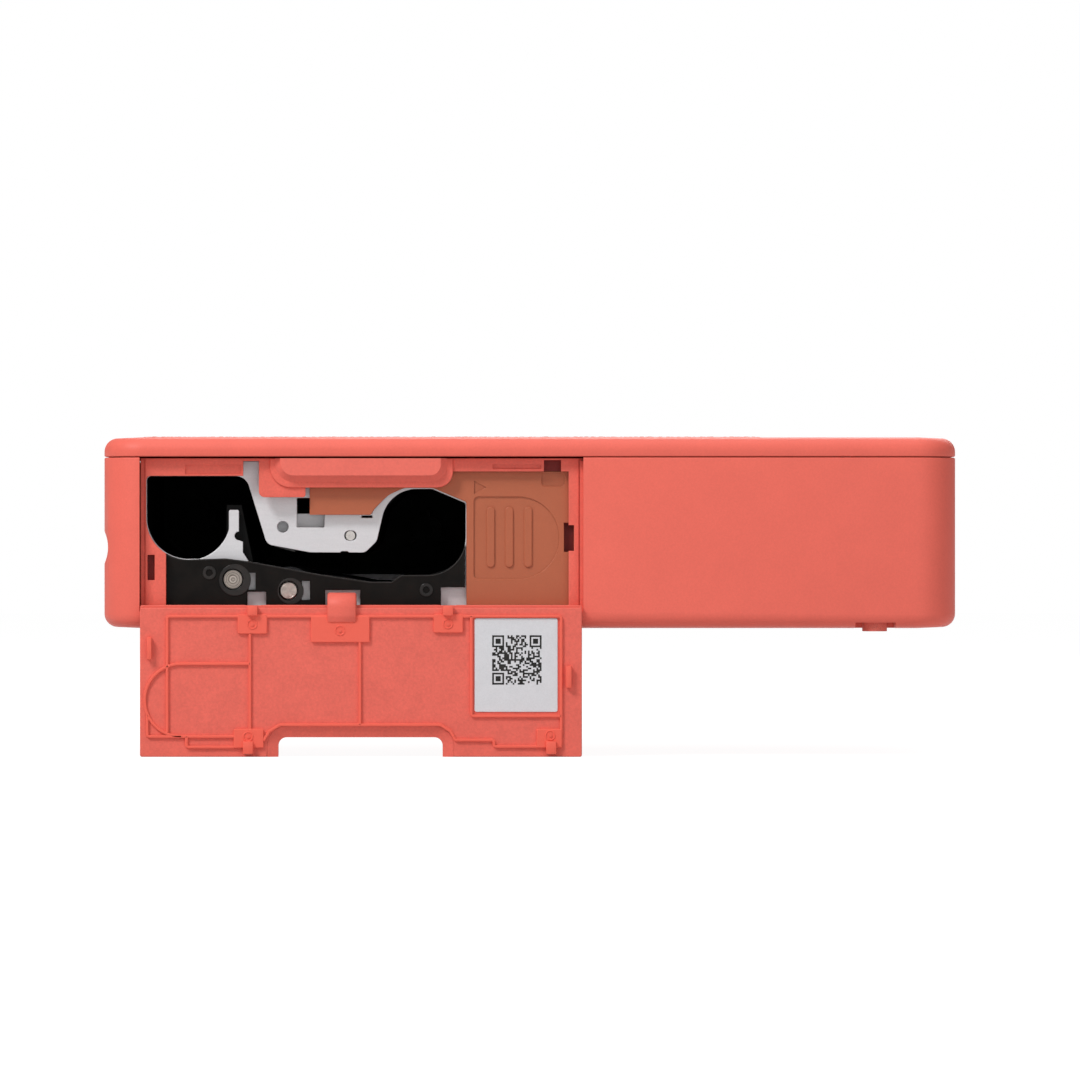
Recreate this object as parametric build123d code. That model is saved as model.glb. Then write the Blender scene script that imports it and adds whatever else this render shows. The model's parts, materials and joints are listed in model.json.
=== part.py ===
from build123d import *
import math
import os

# Compact photo printer, in millimetres. +X runs along its length to the paper tray end, +Y runs
# away from the ink cassette side, and Z = 0 is the flat underside of the bottom case.
# The cassette door is modelled open, hanging in front of and below the case.

os.makedirs("parts", exist_ok=True)

# --- case ---
case_length = 145.8
case_depth = 102.2
case_height = 32.7
plan_radius = 7.0
wall = 1.8
floor_top = 1.8
seam_height = 29.2
seam_gap = 0.16
lip_height = 30.2
ceiling_height = 30.8
edge_radius = 2.3
crown_rise = 0.3
crown_run = 6.4
end_x = case_length / 2
side_y = case_depth / 2
front_y = -side_y

# --- textured panel in the top ---
panel_left = -66.3
panel_right = 39.6
panel_half_width = 44.4
panel_proud = 0.16
panel_sunk = 0.8

# --- cassette bay: the opening in the case wall and the layers behind it, front to back ---
recess_left = -66.6
recess_right = 9.15
recess_bottom = 2.95
bezel_front = -49.15
bezel_back = -47.95
slider_front = -47.75
slider_back = -46.55
frame_front = -46.2
frame_back = -45.2
bay_front = -45.1
bay_end = 27.0
sill_top = 4.0
chamber_left = -65.55
chamber_top = 26.05
window_right = 6.63
tab_notch_right = 7.57
hook_slot_top = 28.6
band_front = -49.6
foot_pad_end = -54.5
foot_pad_top = 2.4

# --- rollers and spindles: (x, z) of each axis ---
feed_axis = (-50.76, 8.37)
platen_axis = (-41.24, 6.45)
pinch_axis = (-50.76, 12.86)
supply_axis = (-18.4, 16.8)
head_axis = (-30.7, 15.85)
feed_shaft_radius = 1.66
feed_far_radius = 1.5
feed_bush_radius = 2.3
platen_bush_radius = 2.1
spindle_shaft_radius = 1.5
head_rod_radius = 0.8
feed_drum_radius = 3.1
platen_shaft_radius = 1.54
platen_radius = 4.05
pinch_radius = 1.3
running_gap = 0.05
drum_start = -42.6
drum_end = 24.6

# --- far side: frame and gear planes ---
far_frame_front = 29.0
far_frame_back = 30.0
gear_module = 0.5
centre_slack = 0.1
plane_one = (31.0, 33.2)
plane_two = (35.2, 37.6)
motor_axis = (2.0, 14.0)

# --- cassette door, open ---
hinge_y = -51.25
hinge_z = 3.53
door_left = -66.45
door_right = 8.9
door_top = 3.97
door_bottom = -21.87
door_thickness = 1.3
door_outer = 2 * hinge_y - front_y
door_inner = door_outer - door_thickness
rib_width = 0.46
rib_height = 0.5
pad_height = 0.55
hook_height = 1.35
notch_left = -42.84
notch_right = -14.86
notch_top = -18.55

# --- end cover over the tray opening ---
tray_near = -44.0
tray_far = 28.0
tray_top = 19.5
cover_axis_x = 72.0
cover_axis_z = 5.0
cover_barrel_radius = 0.9
cover_pin_radius = 0.5

# --- power button ---
button_x = 55.0
button_y = -30.0
button_radius = 3.6
button_gap = 0.15


def block(x0, x1, y0, y1, z0, z1):
    size = Box(x1 - x0, y1 - y0, z1 - z0)
    return Pos((x0 + x1) / 2, (y0 + y1) / 2, (z0 + z1) / 2) * size


def rod(axis, radius, y0, y1):
    # round bar along Y at (x, z)
    bar = Cylinder(radius, y1 - y0, rotation=(90, 0, 0))
    return Pos(axis[0], (y0 + y1) / 2, axis[1]) * bar


def outline(*corners):
    # closed face in the XZ plane from (x, z) or (x, z, corner radius)
    points = [(c[0], c[1]) for c in corners]
    radii = [c[2] if len(c) > 2 else 0 for c in corners]
    return make_face(FilletPolyline(*points, radius=radii, close=True))


def side_slab(sketch, y0, y1):
    # sketch drawn in XZ, made solid between two Y planes
    return extrude(Plane.XZ.offset(-y1) * sketch, y1 - y0)


def side_rect(x0, x1, z0, z1, radius=0):
    shape = RectangleRounded(x1 - x0, z1 - z0, radius) if radius else Rectangle(x1 - x0, z1 - z0)
    return Pos((x0 + x1) / 2, (z0 + z1) / 2) * shape


def ring_of(axis, outer, inner, y0, y1):
    return rod(axis, outer, y0, y1) - rod(axis, inner, y0 - 1, y1 + 1)


def turned(axis, *steps):
    # shaft along Y from (radius, y end) steps, starting at the first step's own start
    start = steps[0]
    shape = None
    for radius, finish in steps[1:]:
        piece = rod(axis, radius, start, finish)
        shape = piece if shape is None else shape + piece
        start = finish
    return shape


def polar(centre, distance, degrees):
    angle = math.radians(degrees)
    return (centre[0] + distance * math.cos(angle), centre[1] + distance * math.sin(angle))


# ---------------------------------------------------------------- case shells

def soft_edged_block(height):
    # rounded rectangle with a crowned, filleted lower edge
    form = extrude(RectangleRounded(case_length, case_depth, plan_radius), height)
    under = form.faces().sort_by(Axis.Z)[0]
    form = chamfer(under.edges(), crown_run, crown_rise, reference=under)
    shoulder = form.edges().filter_by(lambda e: abs(e.center().Z - crown_rise) < 0.01)
    return fillet(shoulder, edge_radius)


def inner_plan(inset, z0, z1):
    plan = RectangleRounded(case_length - 2 * inset, case_depth - 2 * inset, plan_radius - inset)
    return Pos(0, 0, z0) * extrude(plan, z1 - z0)


screw_places = [(-68.3, -46.5), (-68.4, 44.0), (67.5, -46.8), (67.5, 44.0)]
screw_boss_radius = 1.7
screw_boss_top = 5.0
screw_shank_radius = 0.85
screw_head_radius = 1.6
foot_x = 59.05
foot_y = 45.2
foot_width = 4.05
foot_length = 9.0
foot_recess_width = 6.85
foot_recess_depth = 1.0
foot_recess_edge = 40.2
foot_drop = 0.5
groove_depth = 0.74
groove_half_height = 2.85
groove_z = 13.85
slot_height = 2.2
slot_near = -45.5
socket_cutout_half_width = 4.7
socket_cutout_half_height = 1.8
post_spread = 9.0
post_half = 0.9


def bottom_case():
    case = soft_edged_block(seam_height)
    lip = inner_plan(wall / 2, seam_height - 1, lip_height)
    case = case + lip
    case = case - inner_plan(wall, floor_top, lip_height + 1)
    case = case + foot_pads()
    case = case - foot_recesses()
    # door opening through the near wall, up through the lip
    case = case - block(recess_left, recess_right, front_y - 1, front_y + wall + 0.5,
                        recess_bottom, lip_height + 1)
    # concave groove and paper slot in the left end
    groove_radius = (groove_half_height ** 2 + groove_depth ** 2) / (2 * groove_depth)
    groove_axis = (-end_x + groove_depth - groove_radius, groove_z)
    case = case - rod(groove_axis, groove_radius, -side_y, side_y)
    case = case - block(-end_x - 1, -end_x + wall + 1, slot_near, tray_far,
                        groove_z - slot_height / 2, groove_z + slot_height / 2)
    case = case - tray_opening()
    for x, y in screw_places:
        case = case + Pos(x, y, (floor_top - 0.6 + screw_boss_top) / 2) * Cylinder(
            screw_boss_radius, screw_boss_top - floor_top + 0.6)
        case = case - Pos(x, y, 0) * Cylinder(screw_head_radius + 0.2, 2.6)
        case = case - Pos(x, y, 3) * Cylinder(screw_shank_radius + 0.1, 8)
    case = case - block(usb_x - socket_cutout_half_width, usb_x + socket_cutout_half_width,
                        side_y - 3, side_y + 1,
                        usb_z - socket_cutout_half_height, usb_z + socket_cutout_half_height)
    return case + case_ribs()


def foot_pads():
    # thicker floor over each foot, so that its recess keeps a wall above it
    pads = None
    for sx in (-1, 1):
        for sy in (-1, 1):
            y0, y1 = sorted((sy * (side_y - wall - 0.1), sy * (foot_recess_edge - 1)))
            pad = block(sx * foot_x - 4.5, sx * foot_x + 4.5, y0, y1, floor_top - 0.4, foot_pad_top)
            pads = pad if pads is None else pads + pad
    return pads


def foot_recesses():
    cuts = None
    for sx in (-1, 1):
        for sy in (-1, 1):
            y0, y1 = sorted((sy * (side_y + 2), sy * foot_recess_edge))
            plan = Pos(sx * foot_x, (y0 + y1) / 2) * RectangleRounded(
                foot_recess_width, y1 - y0, 1.5)
            cut = Pos(0, 0, -1) * extrude(plan, foot_recess_depth + 1)
            cuts = cut if cuts is None else cuts + cut
    return cuts


def tray_opening():
    plate = block(end_x - wall - 1, end_x + 1, tray_near, tray_far,
                  cover_axis_z - cover_barrel_radius - 0.15, tray_top)
    pins = rod((cover_axis_x, cover_axis_z), cover_pin_radius + running_gap,
               tray_near - 1.2, tray_far + 1.2)
    return plate + pins


def case_ribs():
    # low ribs on the floor that carry the tray bay and the frames
    ribs = None
    for x in (24.0, 44.0, 64.0):
        rib = block(x - 0.5, x + 0.5, -40, 40, floor_top - 0.2, 2.4)
        ribs = rib if ribs is None else ribs + rib
    for x in (-56.0, -24.0):
        rib = block(x - 0.5, x + 0.5, -44, 27, floor_top - 0.2, 2.4)
        ribs = ribs + rib
    return ribs


def rubber_feet():
    feet = []
    for sx in (-1, 1):
        for sy in (-1, 1):
            plan = Pos(sx * foot_x, sy * foot_y) * SlotOverall(foot_length, foot_width, rotation=90)
            feet.append(Pos(0, 0, -foot_drop) * extrude(plan, foot_drop + foot_recess_depth))
    return feet


def case_screws():
    screws = []
    for x, y in screw_places:
        head = Pos(x, y, 0.85) * Cylinder(screw_head_radius, 0.9)
        shank = Pos(x, y, 5.0) * Cylinder(screw_shank_radius, 8.0)
        screws.append(head + shank)
    return screws


def top_cover():
    rise = case_height - seam_height - seam_gap
    cover = Pos(0, 0, case_height) * Rot(180, 0, 0) * soft_edged_block(rise)
    cover = cover - inner_plan(wall, seam_height - 1, ceiling_height)
    cover = cover - inner_plan(wall / 2 - 0.05, seam_height - 1, lip_height)
    pocket = side_plan_rect(panel_left, panel_right, panel_half_width, 3.0)
    cover = cover - Pos(0, 0, case_height - panel_sunk) * extrude(pocket, 3)
    for x, y in screw_places:
        post = Pos(x, y, (screw_boss_top + ceiling_height + 0.2) / 2) * Cylinder(
            screw_boss_radius, ceiling_height + 0.2 - screw_boss_top)
        cover = cover + post
        cover = cover - Pos(x, y, screw_boss_top) * Cylinder(screw_shank_radius, 8.1)
    cover = cover - Pos(button_x, button_y, case_height) * Cylinder(button_radius + button_gap, 10)
    cover = cover - Pos(button_x, button_y + 10, case_height) * Cylinder(lens_radius, 10)
    # square posts that hold the button board down
    board_top = board_z + board_thickness
    for sx in (-1, 1):
        for sy in (-1, 1):
            x, y = button_x + sx * post_spread, button_y + 4 + sy * post_spread
            cover = cover + block(x - post_half, x + post_half, y - post_half, y + post_half,
                                  board_top, ceiling_height + 0.2)
    return cover


def side_plan_rect(x0, x1, half_width, radius):
    return Pos((x0 + x1) / 2, 0) * RectangleRounded(x1 - x0, 2 * half_width, radius)


def texture_panel():
    plan = side_plan_rect(panel_left + 0.08, panel_right - 0.08, panel_half_width - 0.08, 2.9)
    panel = Pos(0, 0, case_height - panel_sunk) * extrude(plan, panel_sunk + panel_proud)
    return chamfer(panel.faces().sort_by(Axis.Z)[-1].edges(), 0.12)


# ---------------------------------------------------------------- top controls

lens_radius = 0.9
button_flange_top = 30.5
button_foot = 29.75
board_z = 27.4
board_thickness = 0.8


def power_button():
    cap = Pos(button_x, button_y, (button_flange_top + case_height - 0.1) / 2) * Cylinder(
        button_radius, case_height - 0.1 - button_flange_top)
    cap = chamfer(cap.faces().sort_by(Axis.Z)[-1].edges(), 0.2)
    flange = Pos(button_x, button_y, button_flange_top - 0.3) * Cylinder(button_radius + 0.8, 0.6)
    stem = Pos(button_x, button_y, (button_foot + button_flange_top) / 2) * Cylinder(
        1.2, button_flange_top - button_foot)
    dish = Pos(button_x, button_y, case_height + 19.7) * Sphere(20)
    return cap + flange + stem - dish


def button_board():
    board = block(button_x - 10, button_x + 10, button_y - 6, button_y + 14,
                  board_z, board_z + board_thickness)
    switch = block(button_x - 2, button_x + 2, button_y - 2, button_y + 2,
                   board_z + board_thickness, board_z + board_thickness + 0.6)
    dome = Pos(button_x, button_y, board_z + board_thickness + 0.8) * Cylinder(1.0, 0.4)
    lamp = block(button_x - 0.8, button_x + 0.8, button_y + 9.4, button_y + 10.6,
                 board_z + board_thickness, board_z + board_thickness + 0.6)
    return board + switch + dome + lamp


def status_lens():
    top = case_height + 0.02
    foot = board_z + board_thickness + 0.8
    return Pos(button_x, button_y + 10, (top + foot) / 2) * Cylinder(lens_radius, top - foot)


# ---------------------------------------------------------------- cassette bay

def bay_void():
    # what the ribbon cassette fills, seen along its length: two spool chambers joined by the
    # ribbon path that runs under the island
    return outline(
        (chamber_left, 15.8, 1.5),
        (chamber_left, chamber_top, 0.8),
        (-48.6, chamber_top, 2.4),
        (-46.6, 21.2, 3.0),
        (-45.0, 14.35, 1.6),
        (-37.6, 12.98, 3.0),
        (-28.2, 12.94, 1.4),
        (-26.2, 14.9, 1.5),
        (-24.9, 20.4, 4.5),
        (-21.6, 23.85, 3.6),
        (-16.7, 23.85, 1.5),
        (-10.98, 21.4, 0.6),
        (-10.98, 12.6, 1.2),
        (-14.2, 10.1, 3.0),
        (-17.2, 9.15, 2.5),
        (-22.0, 9.1, 0.6),
        (-23.6, 7.94, 0.4),
        (-27.3, 7.94, 0.4),
        (-31.5, 8.75, 3.0),
        (-35.9, 9.2, 3.0),
        (-48.1, 11.45, 4.0),
        (-52.0, 11.87, 4.0),
        (-60.3, 11.87, 3.0),
        (-63.6, 13.6, 2.5),
    )


def guide_top_to(bottom):
    # the ground under the ribbon, from its running surface down to a level bottom
    return outline(
        (-62.15, bottom),
        (-62.15, 12.65),
        (-60.3, 11.87, 3.0),
        (-52.0, 11.87, 4.0),
        (-48.1, 11.45, 4.0),
        (-35.9, 9.2, 3.0),
        (-31.5, 8.75, 3.0),
        (-27.3, 7.94, 0.4),
        (-23.6, 7.94, 0.4),
        (-22.0, 9.1, 0.6),
        (-17.2, 9.15, 2.5),
        (-14.2, 10.1, 3.0),
        (-11.1, 12.5),
        (-11.1, bottom),
    )


def bay_bezel():
    plate = side_rect(recess_left + 0.1, recess_right - 0.1, recess_bottom + 0.15, seam_height - 0.1)
    window = outline(
        (chamber_left, 15.8, 1.5),
        (chamber_left, chamber_top, 0.8),
        (-48.97, chamber_top),
        (-48.97, hook_slot_top),
        (-46.28, hook_slot_top),
        (-46.28, 22.4, 1.0),
        (-38.32, 22.4, 0.5),
        (-38.32, 24.05),
        (-16.0, 24.05, 2.2),
        (-13.2, 26.81, 0.4),
        (window_right, 26.81),
        (window_right, 17.62),
        (tab_notch_right, 17.62),
        (tab_notch_right, 13.25),
        (window_right, 13.25),
        (window_right, sill_top),
        (-62.15, sill_top),
        (-62.15, 12.65),
        (-63.6, 13.6, 2.5),
    )
    bezel = side_slab(plate - window, bezel_front, bezel_back) + bezel_flanges()
    # slots that take the door's left tab and its snap hooks when it closes
    slots = [(-65.35, -63.75, 8.25, 12.6), (2.43, 5.34, 26.7, hook_slot_top + 0.15)]
    for x in top_hooks:
        slots.append((x - 0.8 * hook_width, x + 0.8 * hook_width, 3.0, sill_top + 1))
    for x0, x1, z0, z1 in slots:
        bezel = bezel - block(x0, x1, bezel_front - 1, bezel_back + 1, z0, z1)
    # shallow moulded pockets in the top strip
    bezel = bezel - block(-58.87, -49.28, bezel_front - 1, bezel_front + 0.4, 26.2, 27.9)
    bezel = bezel - block(-6.3, 1.92, bezel_front - 1, bezel_front + 0.4, 27.28, 27.96)
    bezel = bezel - block(-62.3, -62.15, bezel_front - 1, bezel_front + 0.25, 26.1, 29.2)
    bezel = bezel - side_slab(rim_step(), bezel_front - 1, bezel_front + 0.35)
    return bezel + finger_tab()


def rim_step():
    # lower rim round the sides of the bezel, where the edge of the closed door drops in
    outer = side_rect(recess_left - 1, recess_right + 1, recess_bottom - 1, seam_height + 1)
    inner = side_rect(recess_left + 0.85, recess_right - 0.75, recess_bottom - 2, seam_height + 2)
    return outer - inner


def finger_tab():
    # sloping band, then the raised plate that fills the notch of the closed door
    top = seam_height - 0.15
    left, right = notch_left + 0.19, notch_right - 0.19
    band = outline((-44.4, top), (-44.4, 24.05, 3.5), (-13.1, 24.05, 2.7), (-13.1, top))
    face = outline((left, top), (left, 25.97, 2.3), (right, 25.97, 2.0), (right, top))
    tab = side_slab(band, band_front, bezel_front + 0.1)
    plate = side_slab(face, front_y + 0.1, band_front + 0.1)
    rim = plate.faces().sort_by(Axis.Y)[0].edges()
    lower_rim = rim.filter_by(lambda edge: edge.center().Z < top - 0.05)
    return tab + chamfer(lower_rim, 0.2)


def bezel_flanges():
    # lips behind the case wall at the right and below, and ears that seat on the metal frame
    inner_wall = front_y + wall
    lip_start = recess_right - 0.6
    lips = block(lip_start, recess_right + 1.6, inner_wall, bezel_back, floor_top, 28.6)
    lips = lips + block(foot_pad_end + 0.5, lip_start + 0.1, inner_wall, bezel_back, floor_top, 3.2)
    ears = block(-66.4, -65.65, bezel_back - 0.1, frame_front, 14, 24)
    ears = ears + block(-60, -50, bezel_back - 0.1, frame_front, 27.0, 28.4)
    return lips + ears


def near_frame_plate():
    # steel side plate: the island hangs from the top, the fin stands up between the chambers
    plate = side_rect(-66.3, 9.0, floor_top, 28.6, 0.8) + side_rect(8.0, 15.2, 19.5, 25.5)
    shape = plate - offset(bay_void(), 0.02) + fin_outline()
    # the foot of the plate steps over the thick floor above the front left foot
    shape = shape - side_rect(-64.0, foot_pad_end + 0.5, 1.0, foot_pad_top)
    window = side_rect(-39.86, -35.15, 17.26, 22.31, 0.2)
    shape = shape - window - Pos(-42.26, 17.35) * Circle(0.98)
    shape = shape - Pos(*head_axis) * SlotOverall(2.1, 1.71)
    shape = shape - side_rect(-28.82, -26.95, 18.9, 19.3) - side_rect(-31.9, -30.9, 12.5, 13.15)
    shape = shape - Pos(*feed_axis) * Circle(feed_bush_radius)
    shape = shape - Pos(*platen_axis) * Circle(platen_bush_radius)
    for x, z in slider_pin_places:
        shape = shape - Pos(x, z) * Circle(slider_pin_radius)
    for x, z in cover_screw_places:
        shape = shape - Pos(x, z) * Circle(cover_screw_radius)
    # the bent tab at the right end takes the eject spring
    tab = block(14.5, 15.2, slider_front, frame_front, 20.5, 24.0)
    return side_slab(shape, frame_front, frame_back) + tab


def fin_outline():
    return outline(
        (-56.2, 11.0),
        (-56.2, 12.15),
        (-53.7, 13.8, 3.0),
        (-51.8, 15.9, 3.0),
        (-51.51, 17.3),
        (-51.51, 20.26, 0.3),
        (-49.79, 20.26, 0.3),
        (-49.79, 16.55),
        (-50.45, 15.8, 0.6),
        (-49.79, 15.05),
        (-49.11, 14.8),
        (-49.11, 13.0),
        (-48.2, 11.6),
        (-48.2, 11.0),
    )


slider_pin_places = [(-34.0, 25.8), (-4.0, 27.85), (4.0, 3.1)]
slider_pin_radius = 0.7
slider_travel = 3.0
cover_screw_places = [(-54.8, 9.5), (-17.7, 6.56)]
cover_screw_radius = 0.6
well_clear = 60.0


def slider_pins():
    return [rod(place, slider_pin_radius, slider_front + 0.05, frame_back)
            for place in slider_pin_places]


def roller_side_cover():
    # black moulding in front of the frame that carries the near ends of the rollers
    shape = guide_top_to(sill_top - 1.0)
    shaft_windows = side_rect(-48.1, -46.9, 6.6, 9.5) + side_rect(-39.0, -37.6, 4.85, 8.1)
    foot_windows = (side_rect(-48.3, -45.1, 2.9, 6.25) + side_rect(-35.0, -29.0, 2.9, 6.55)
                    + side_rect(-15.2, -11.0, 2.9, 7.0))
    cover = side_slab(shape - foot_windows, slider_front, frame_front - 0.02)
    # stepped rings round the two shaft ends, set off towards the windows
    for axis, bush_radius in ((feed_axis, feed_bush_radius), (platen_axis, platen_bush_radius)):
        ring = Pos(axis[0] + 0.35, axis[1] - 0.1) * Circle(bush_radius + 0.8)
        cover = cover + side_slab(ring, slider_front - 0.15, slider_front + 0.1)
        cover = cover - rod(axis, bush_radius + running_gap, -well_clear, frame_front)
    cover = cover - side_slab(shaft_windows, -well_clear, frame_front)
    for place in cover_screw_places:
        cover = cover + rod(place, 1.13, slider_front - 0.2, slider_front + 0.1)
        cover = cover - rod(place, cover_screw_radius, -well_clear, frame_front)
    return cover


def cover_screws():
    screws = []
    for place in cover_screw_places:
        screws.append(rod(place, cover_screw_radius, slider_front + 0.5, frame_back))
    return screws


def bay_liner():
    # thin moulded tunnel round the cassette, closed at its far end
    inner = bay_void()
    outer = offset(inner, 1.0)
    below = guide_top_to(0.0) + side_rect(-64.0, -11.0, 0, 9.0)
    skin = outer - inner - offset(below, 0.05)
    tunnel = side_slab(skin, bay_front, bay_end)
    end_wall = side_slab(outer - offset(below, 0.05), bay_end, bay_end + 1)
    liner = tunnel + end_wall
    # slot in the roof that the print head comes down through
    liner = liner - block(-45.6, -33.4, bay_front - 1, bay_end - 0.6, 12.4, 16.0)
    for axis in (takeup_axis, supply_axis):
        liner = liner - rod(axis, spindle_shaft_radius + 0.5, bay_end - 1, bay_end + 2)
    return liner


def cassette_guide():
    # ground of the ribbon path: hollow moulding with a ridge that holds the pinch roller
    body = guide_top_to(2.4)
    hollow = outline(
        (-60.9, 1.0), (-60.9, 10.6), (-48.3, 10.2), (-36.0, 7.9), (-31.5, 7.4),
        (-22.0, 6.7), (-16.0, 7.8), (-12.4, 10.0), (-12.4, 1.0))
    shell = side_slab(body - hollow, bay_front, bay_end)
    for y0, y1 in ((bay_front, drum_start - 0.6), (drum_end + 0.6, bay_end)):
        shell = shell + side_slab(body, y0, y1)
    ridge = outline(
        (-56.6, 11.5),
        (-55.9, 12.1, 1.0),
        (-53.4, 13.6, 3.0),
        (-51.95, 16.2, 2.0),
        (-51.9, 21.1),
        (-49.4, 21.1),
        (-47.4, 11.3),
        (-50.0, 11.4),
    )
    guide = shell + side_slab(ridge, bay_front, bay_end)
    guide = guide - rod(feed_axis, feed_drum_radius + 0.3, drum_start - 0.3, drum_end + 0.3)
    guide = guide - rod(feed_axis, 2.3, bay_front - 1, bay_end + 1)
    guide = guide - rod(platen_axis, platen_radius + 0.35, drum_start - 0.3, drum_end + 0.3)
    guide = guide - rod(platen_axis, 2.1, bay_front - 1, bay_end + 1)
    guide = guide - rod(pinch_axis, pinch_radius + 0.15, drum_start + 0.2, drum_end - 0.2)
    guide = guide - rod(pinch_axis, 0.85, drum_start - 1.4, drum_end + 1.4)
    return guide


# ---------------------------------------------------------------- rollers

def feed_roller():
    return turned(feed_axis, slider_front + 0.05, (feed_shaft_radius, drum_start),
                  (feed_drum_radius, drum_end), (feed_far_radius, plane_two[1] + 0.8))


def platen_shaft():
    return rod(platen_axis, platen_shaft_radius, slider_front + 0.05, 30.6)


def platen_rubber():
    sleeve = rod(platen_axis, platen_radius, drum_start, drum_end)
    return sleeve - rod(platen_axis, platen_shaft_radius, drum_start - 1, drum_end + 1)


def pinch_roller():
    return turned(pinch_axis, drum_start - 1.2, (0.8, drum_start + 0.4),
                  (pinch_radius, drum_end - 0.4), (0.8, drum_end + 1.2))


def bushes(axis, outer, near_shaft, far_shaft):
    near = ring_of(axis, outer, near_shaft + running_gap, frame_front, frame_back)
    far = ring_of(axis, outer, far_shaft + running_gap, far_frame_front, far_frame_back)
    return [near, far]


def feed_bushes():
    return bushes(feed_axis, feed_bush_radius, feed_shaft_radius, feed_far_radius)


def platen_bushes():
    return bushes(platen_axis, platen_bush_radius, platen_shaft_radius, platen_shaft_radius)


pickup_roller_radius = 5.4
pickup_shaft_radius = 1.5


def pickup_shaft():
    return rod(pickup_axis, pickup_shaft_radius, -20, plane_one[1] + 0.3)


def pickup_tyres():
    tyres = []
    for y0 in (-18.0, -2.0):
        tyres.append(ring_of(pickup_axis, pickup_roller_radius, pickup_shaft_radius, y0, y0 + 8))
    return tyres


def spindle(axis, end):
    # splined hub that turns a ribbon spool, on a shaft through the end wall
    hub = rod(axis, 2.6, bay_end - 6, bay_end - 0.3)
    for turn in (90, 210, 330):
        x, z = polar(axis, 2.9, turn)
        spline = Pos(x, bay_end - 3.2, z) * Rot(0, -turn, 0) * Box(1.4, 5.6, 0.8)
        hub = hub + spline
    nose = rod(axis, 1.2, bay_end - 8, bay_end - 6)
    return hub + nose + rod(axis, spindle_shaft_radius, bay_end - 0.3, end)


# ---------------------------------------------------------------- print head

head_lift_angle = 15.0


def head_arm():
    side = outline(
        (-43.6, 15.6, 0.5),
        (-43.6, 19.6, 0.5),
        (-34.4, 19.6, 2.0),
        (-29.2, 17.3, 1.2),
        (-29.2, 14.5, 1.2),
        (-32.0, 14.5, 1.0),
        (-36.5, 15.2, 1.0),
    )
    side = side - Pos(*head_axis) * Circle(head_rod_radius)
    arm = side_slab(side, -43.8, -43.0) + side_slab(side, 24.8, 25.6)
    return arm + block(-43.0, -35.0, -43.1, 24.9, 18.8, 19.6)


def head_rod():
    return rod(head_axis, head_rod_radius, frame_front + 0.05, far_frame_back - 0.05)


def heat_sink():
    sink = block(-43.1, -37.6, -42.8, 24.6, 17.4, 18.8)
    for x in (-42.7, -41.4, -40.1, -38.8):
        sink = sink + block(x - 0.3, x + 0.3, -42.8, 24.6, 15.6, 17.5)
    return sink


def print_head():
    # ceramic bar, level when the arm is down, tilted up with it at rest
    bar = block(-42.8, -39.3, -41.0, 23.0, 10.65, 12.3)
    pivot = Pos(head_axis[0], 0, head_axis[1])
    raised = pivot * Rot(0, head_lift_angle, 0) * pivot.inverse() * bar
    return raised


# ---------------------------------------------------------------- gears

pressure_angle = math.radians(20)
tooth_thinning = 0.07


def involute(angle):
    return math.tan(angle) - angle


def gear(axis, teeth, phase, plane, bore, hub=0):
    # spur gear about a Y axis; phase is the angle of one tooth's middle, in degrees
    pitch = gear_module * teeth / 2
    tip = pitch + gear_module * 0.95
    root = pitch - gear_module * 1.2
    base = pitch * math.cos(pressure_angle)
    half_at_pitch = math.pi / (2 * teeth) - tooth_thinning / (2 * pitch)

    def half_angle(radius):
        flank = math.acos(min(1.0, base / max(radius, base)))
        return half_at_pitch + involute(pressure_angle) - involute(flank)

    points = []
    for tooth in range(teeth):
        middle = math.radians(phase) + 2 * math.pi * tooth / teeth
        for radius, side in ((root, -1), (tip, -1), (tip, 1), (root, 1)):
            angle = middle + side * half_angle(radius)
            points.append((radius * math.cos(angle), radius * math.sin(angle)))
    face = Pos(*axis) * (make_face(Polyline(*points, close=True)) - Circle(bore))
    return side_slab(face, *plane)


def mesh_phase(phase_a, teeth_a, teeth_b, degrees):
    # phase of gear b that sets its gap on gear a's tooth; degrees points from a to b
    turns_a = (phase_a - degrees) / 360 * teeth_a
    return degrees + 180 - 360 / teeth_b * (turns_a + 0.5)


def direction(a, b):
    return math.degrees(math.atan2(b[1] - a[1], b[0] - a[0]))


def mesh_distance(teeth_a, teeth_b):
    return gear_module * (teeth_a + teeth_b) / 2 + centre_slack


def between(a, b, from_a, from_b, side):
    # centre of a gear that meshes with two others, on one side of the line between them
    gap = math.dist(a, b)
    along = (gap ** 2 + from_a ** 2 - from_b ** 2) / (2 * gap)
    off = math.sqrt(from_a ** 2 - along ** 2)
    ux, uz = (b[0] - a[0]) / gap, (b[1] - a[1]) / gap
    return (a[0] + ux * along - uz * off * side, a[1] + uz * along + ux * off * side)


pinion_teeth = 12
reduction_large_teeth = 48
reduction_small_teeth = 20
long_idler_teeth = 36
short_idler_teeth = 24
feed_teeth = 22
takeup_teeth = 32
pickup_idler_teeth = 16
pickup_teeth = 24

pickup_axis = (15.0, 21.3)
takeup_axis = polar(feed_axis, mesh_distance(feed_teeth, takeup_teeth), 125.6)
reduction_axis = polar(motor_axis, mesh_distance(pinion_teeth, reduction_large_teeth), 170.7)
long_idler_axis = polar(reduction_axis, mesh_distance(reduction_small_teeth, long_idler_teeth), 190.4)
short_idler_axis = between(
    long_idler_axis, feed_axis,
    mesh_distance(long_idler_teeth, short_idler_teeth),
    mesh_distance(short_idler_teeth, feed_teeth), -1)
pickup_idler_axis = between(
    motor_axis, pickup_axis,
    mesh_distance(pinion_teeth, pickup_idler_teeth),
    mesh_distance(pickup_idler_teeth, pickup_teeth), -1)

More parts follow.
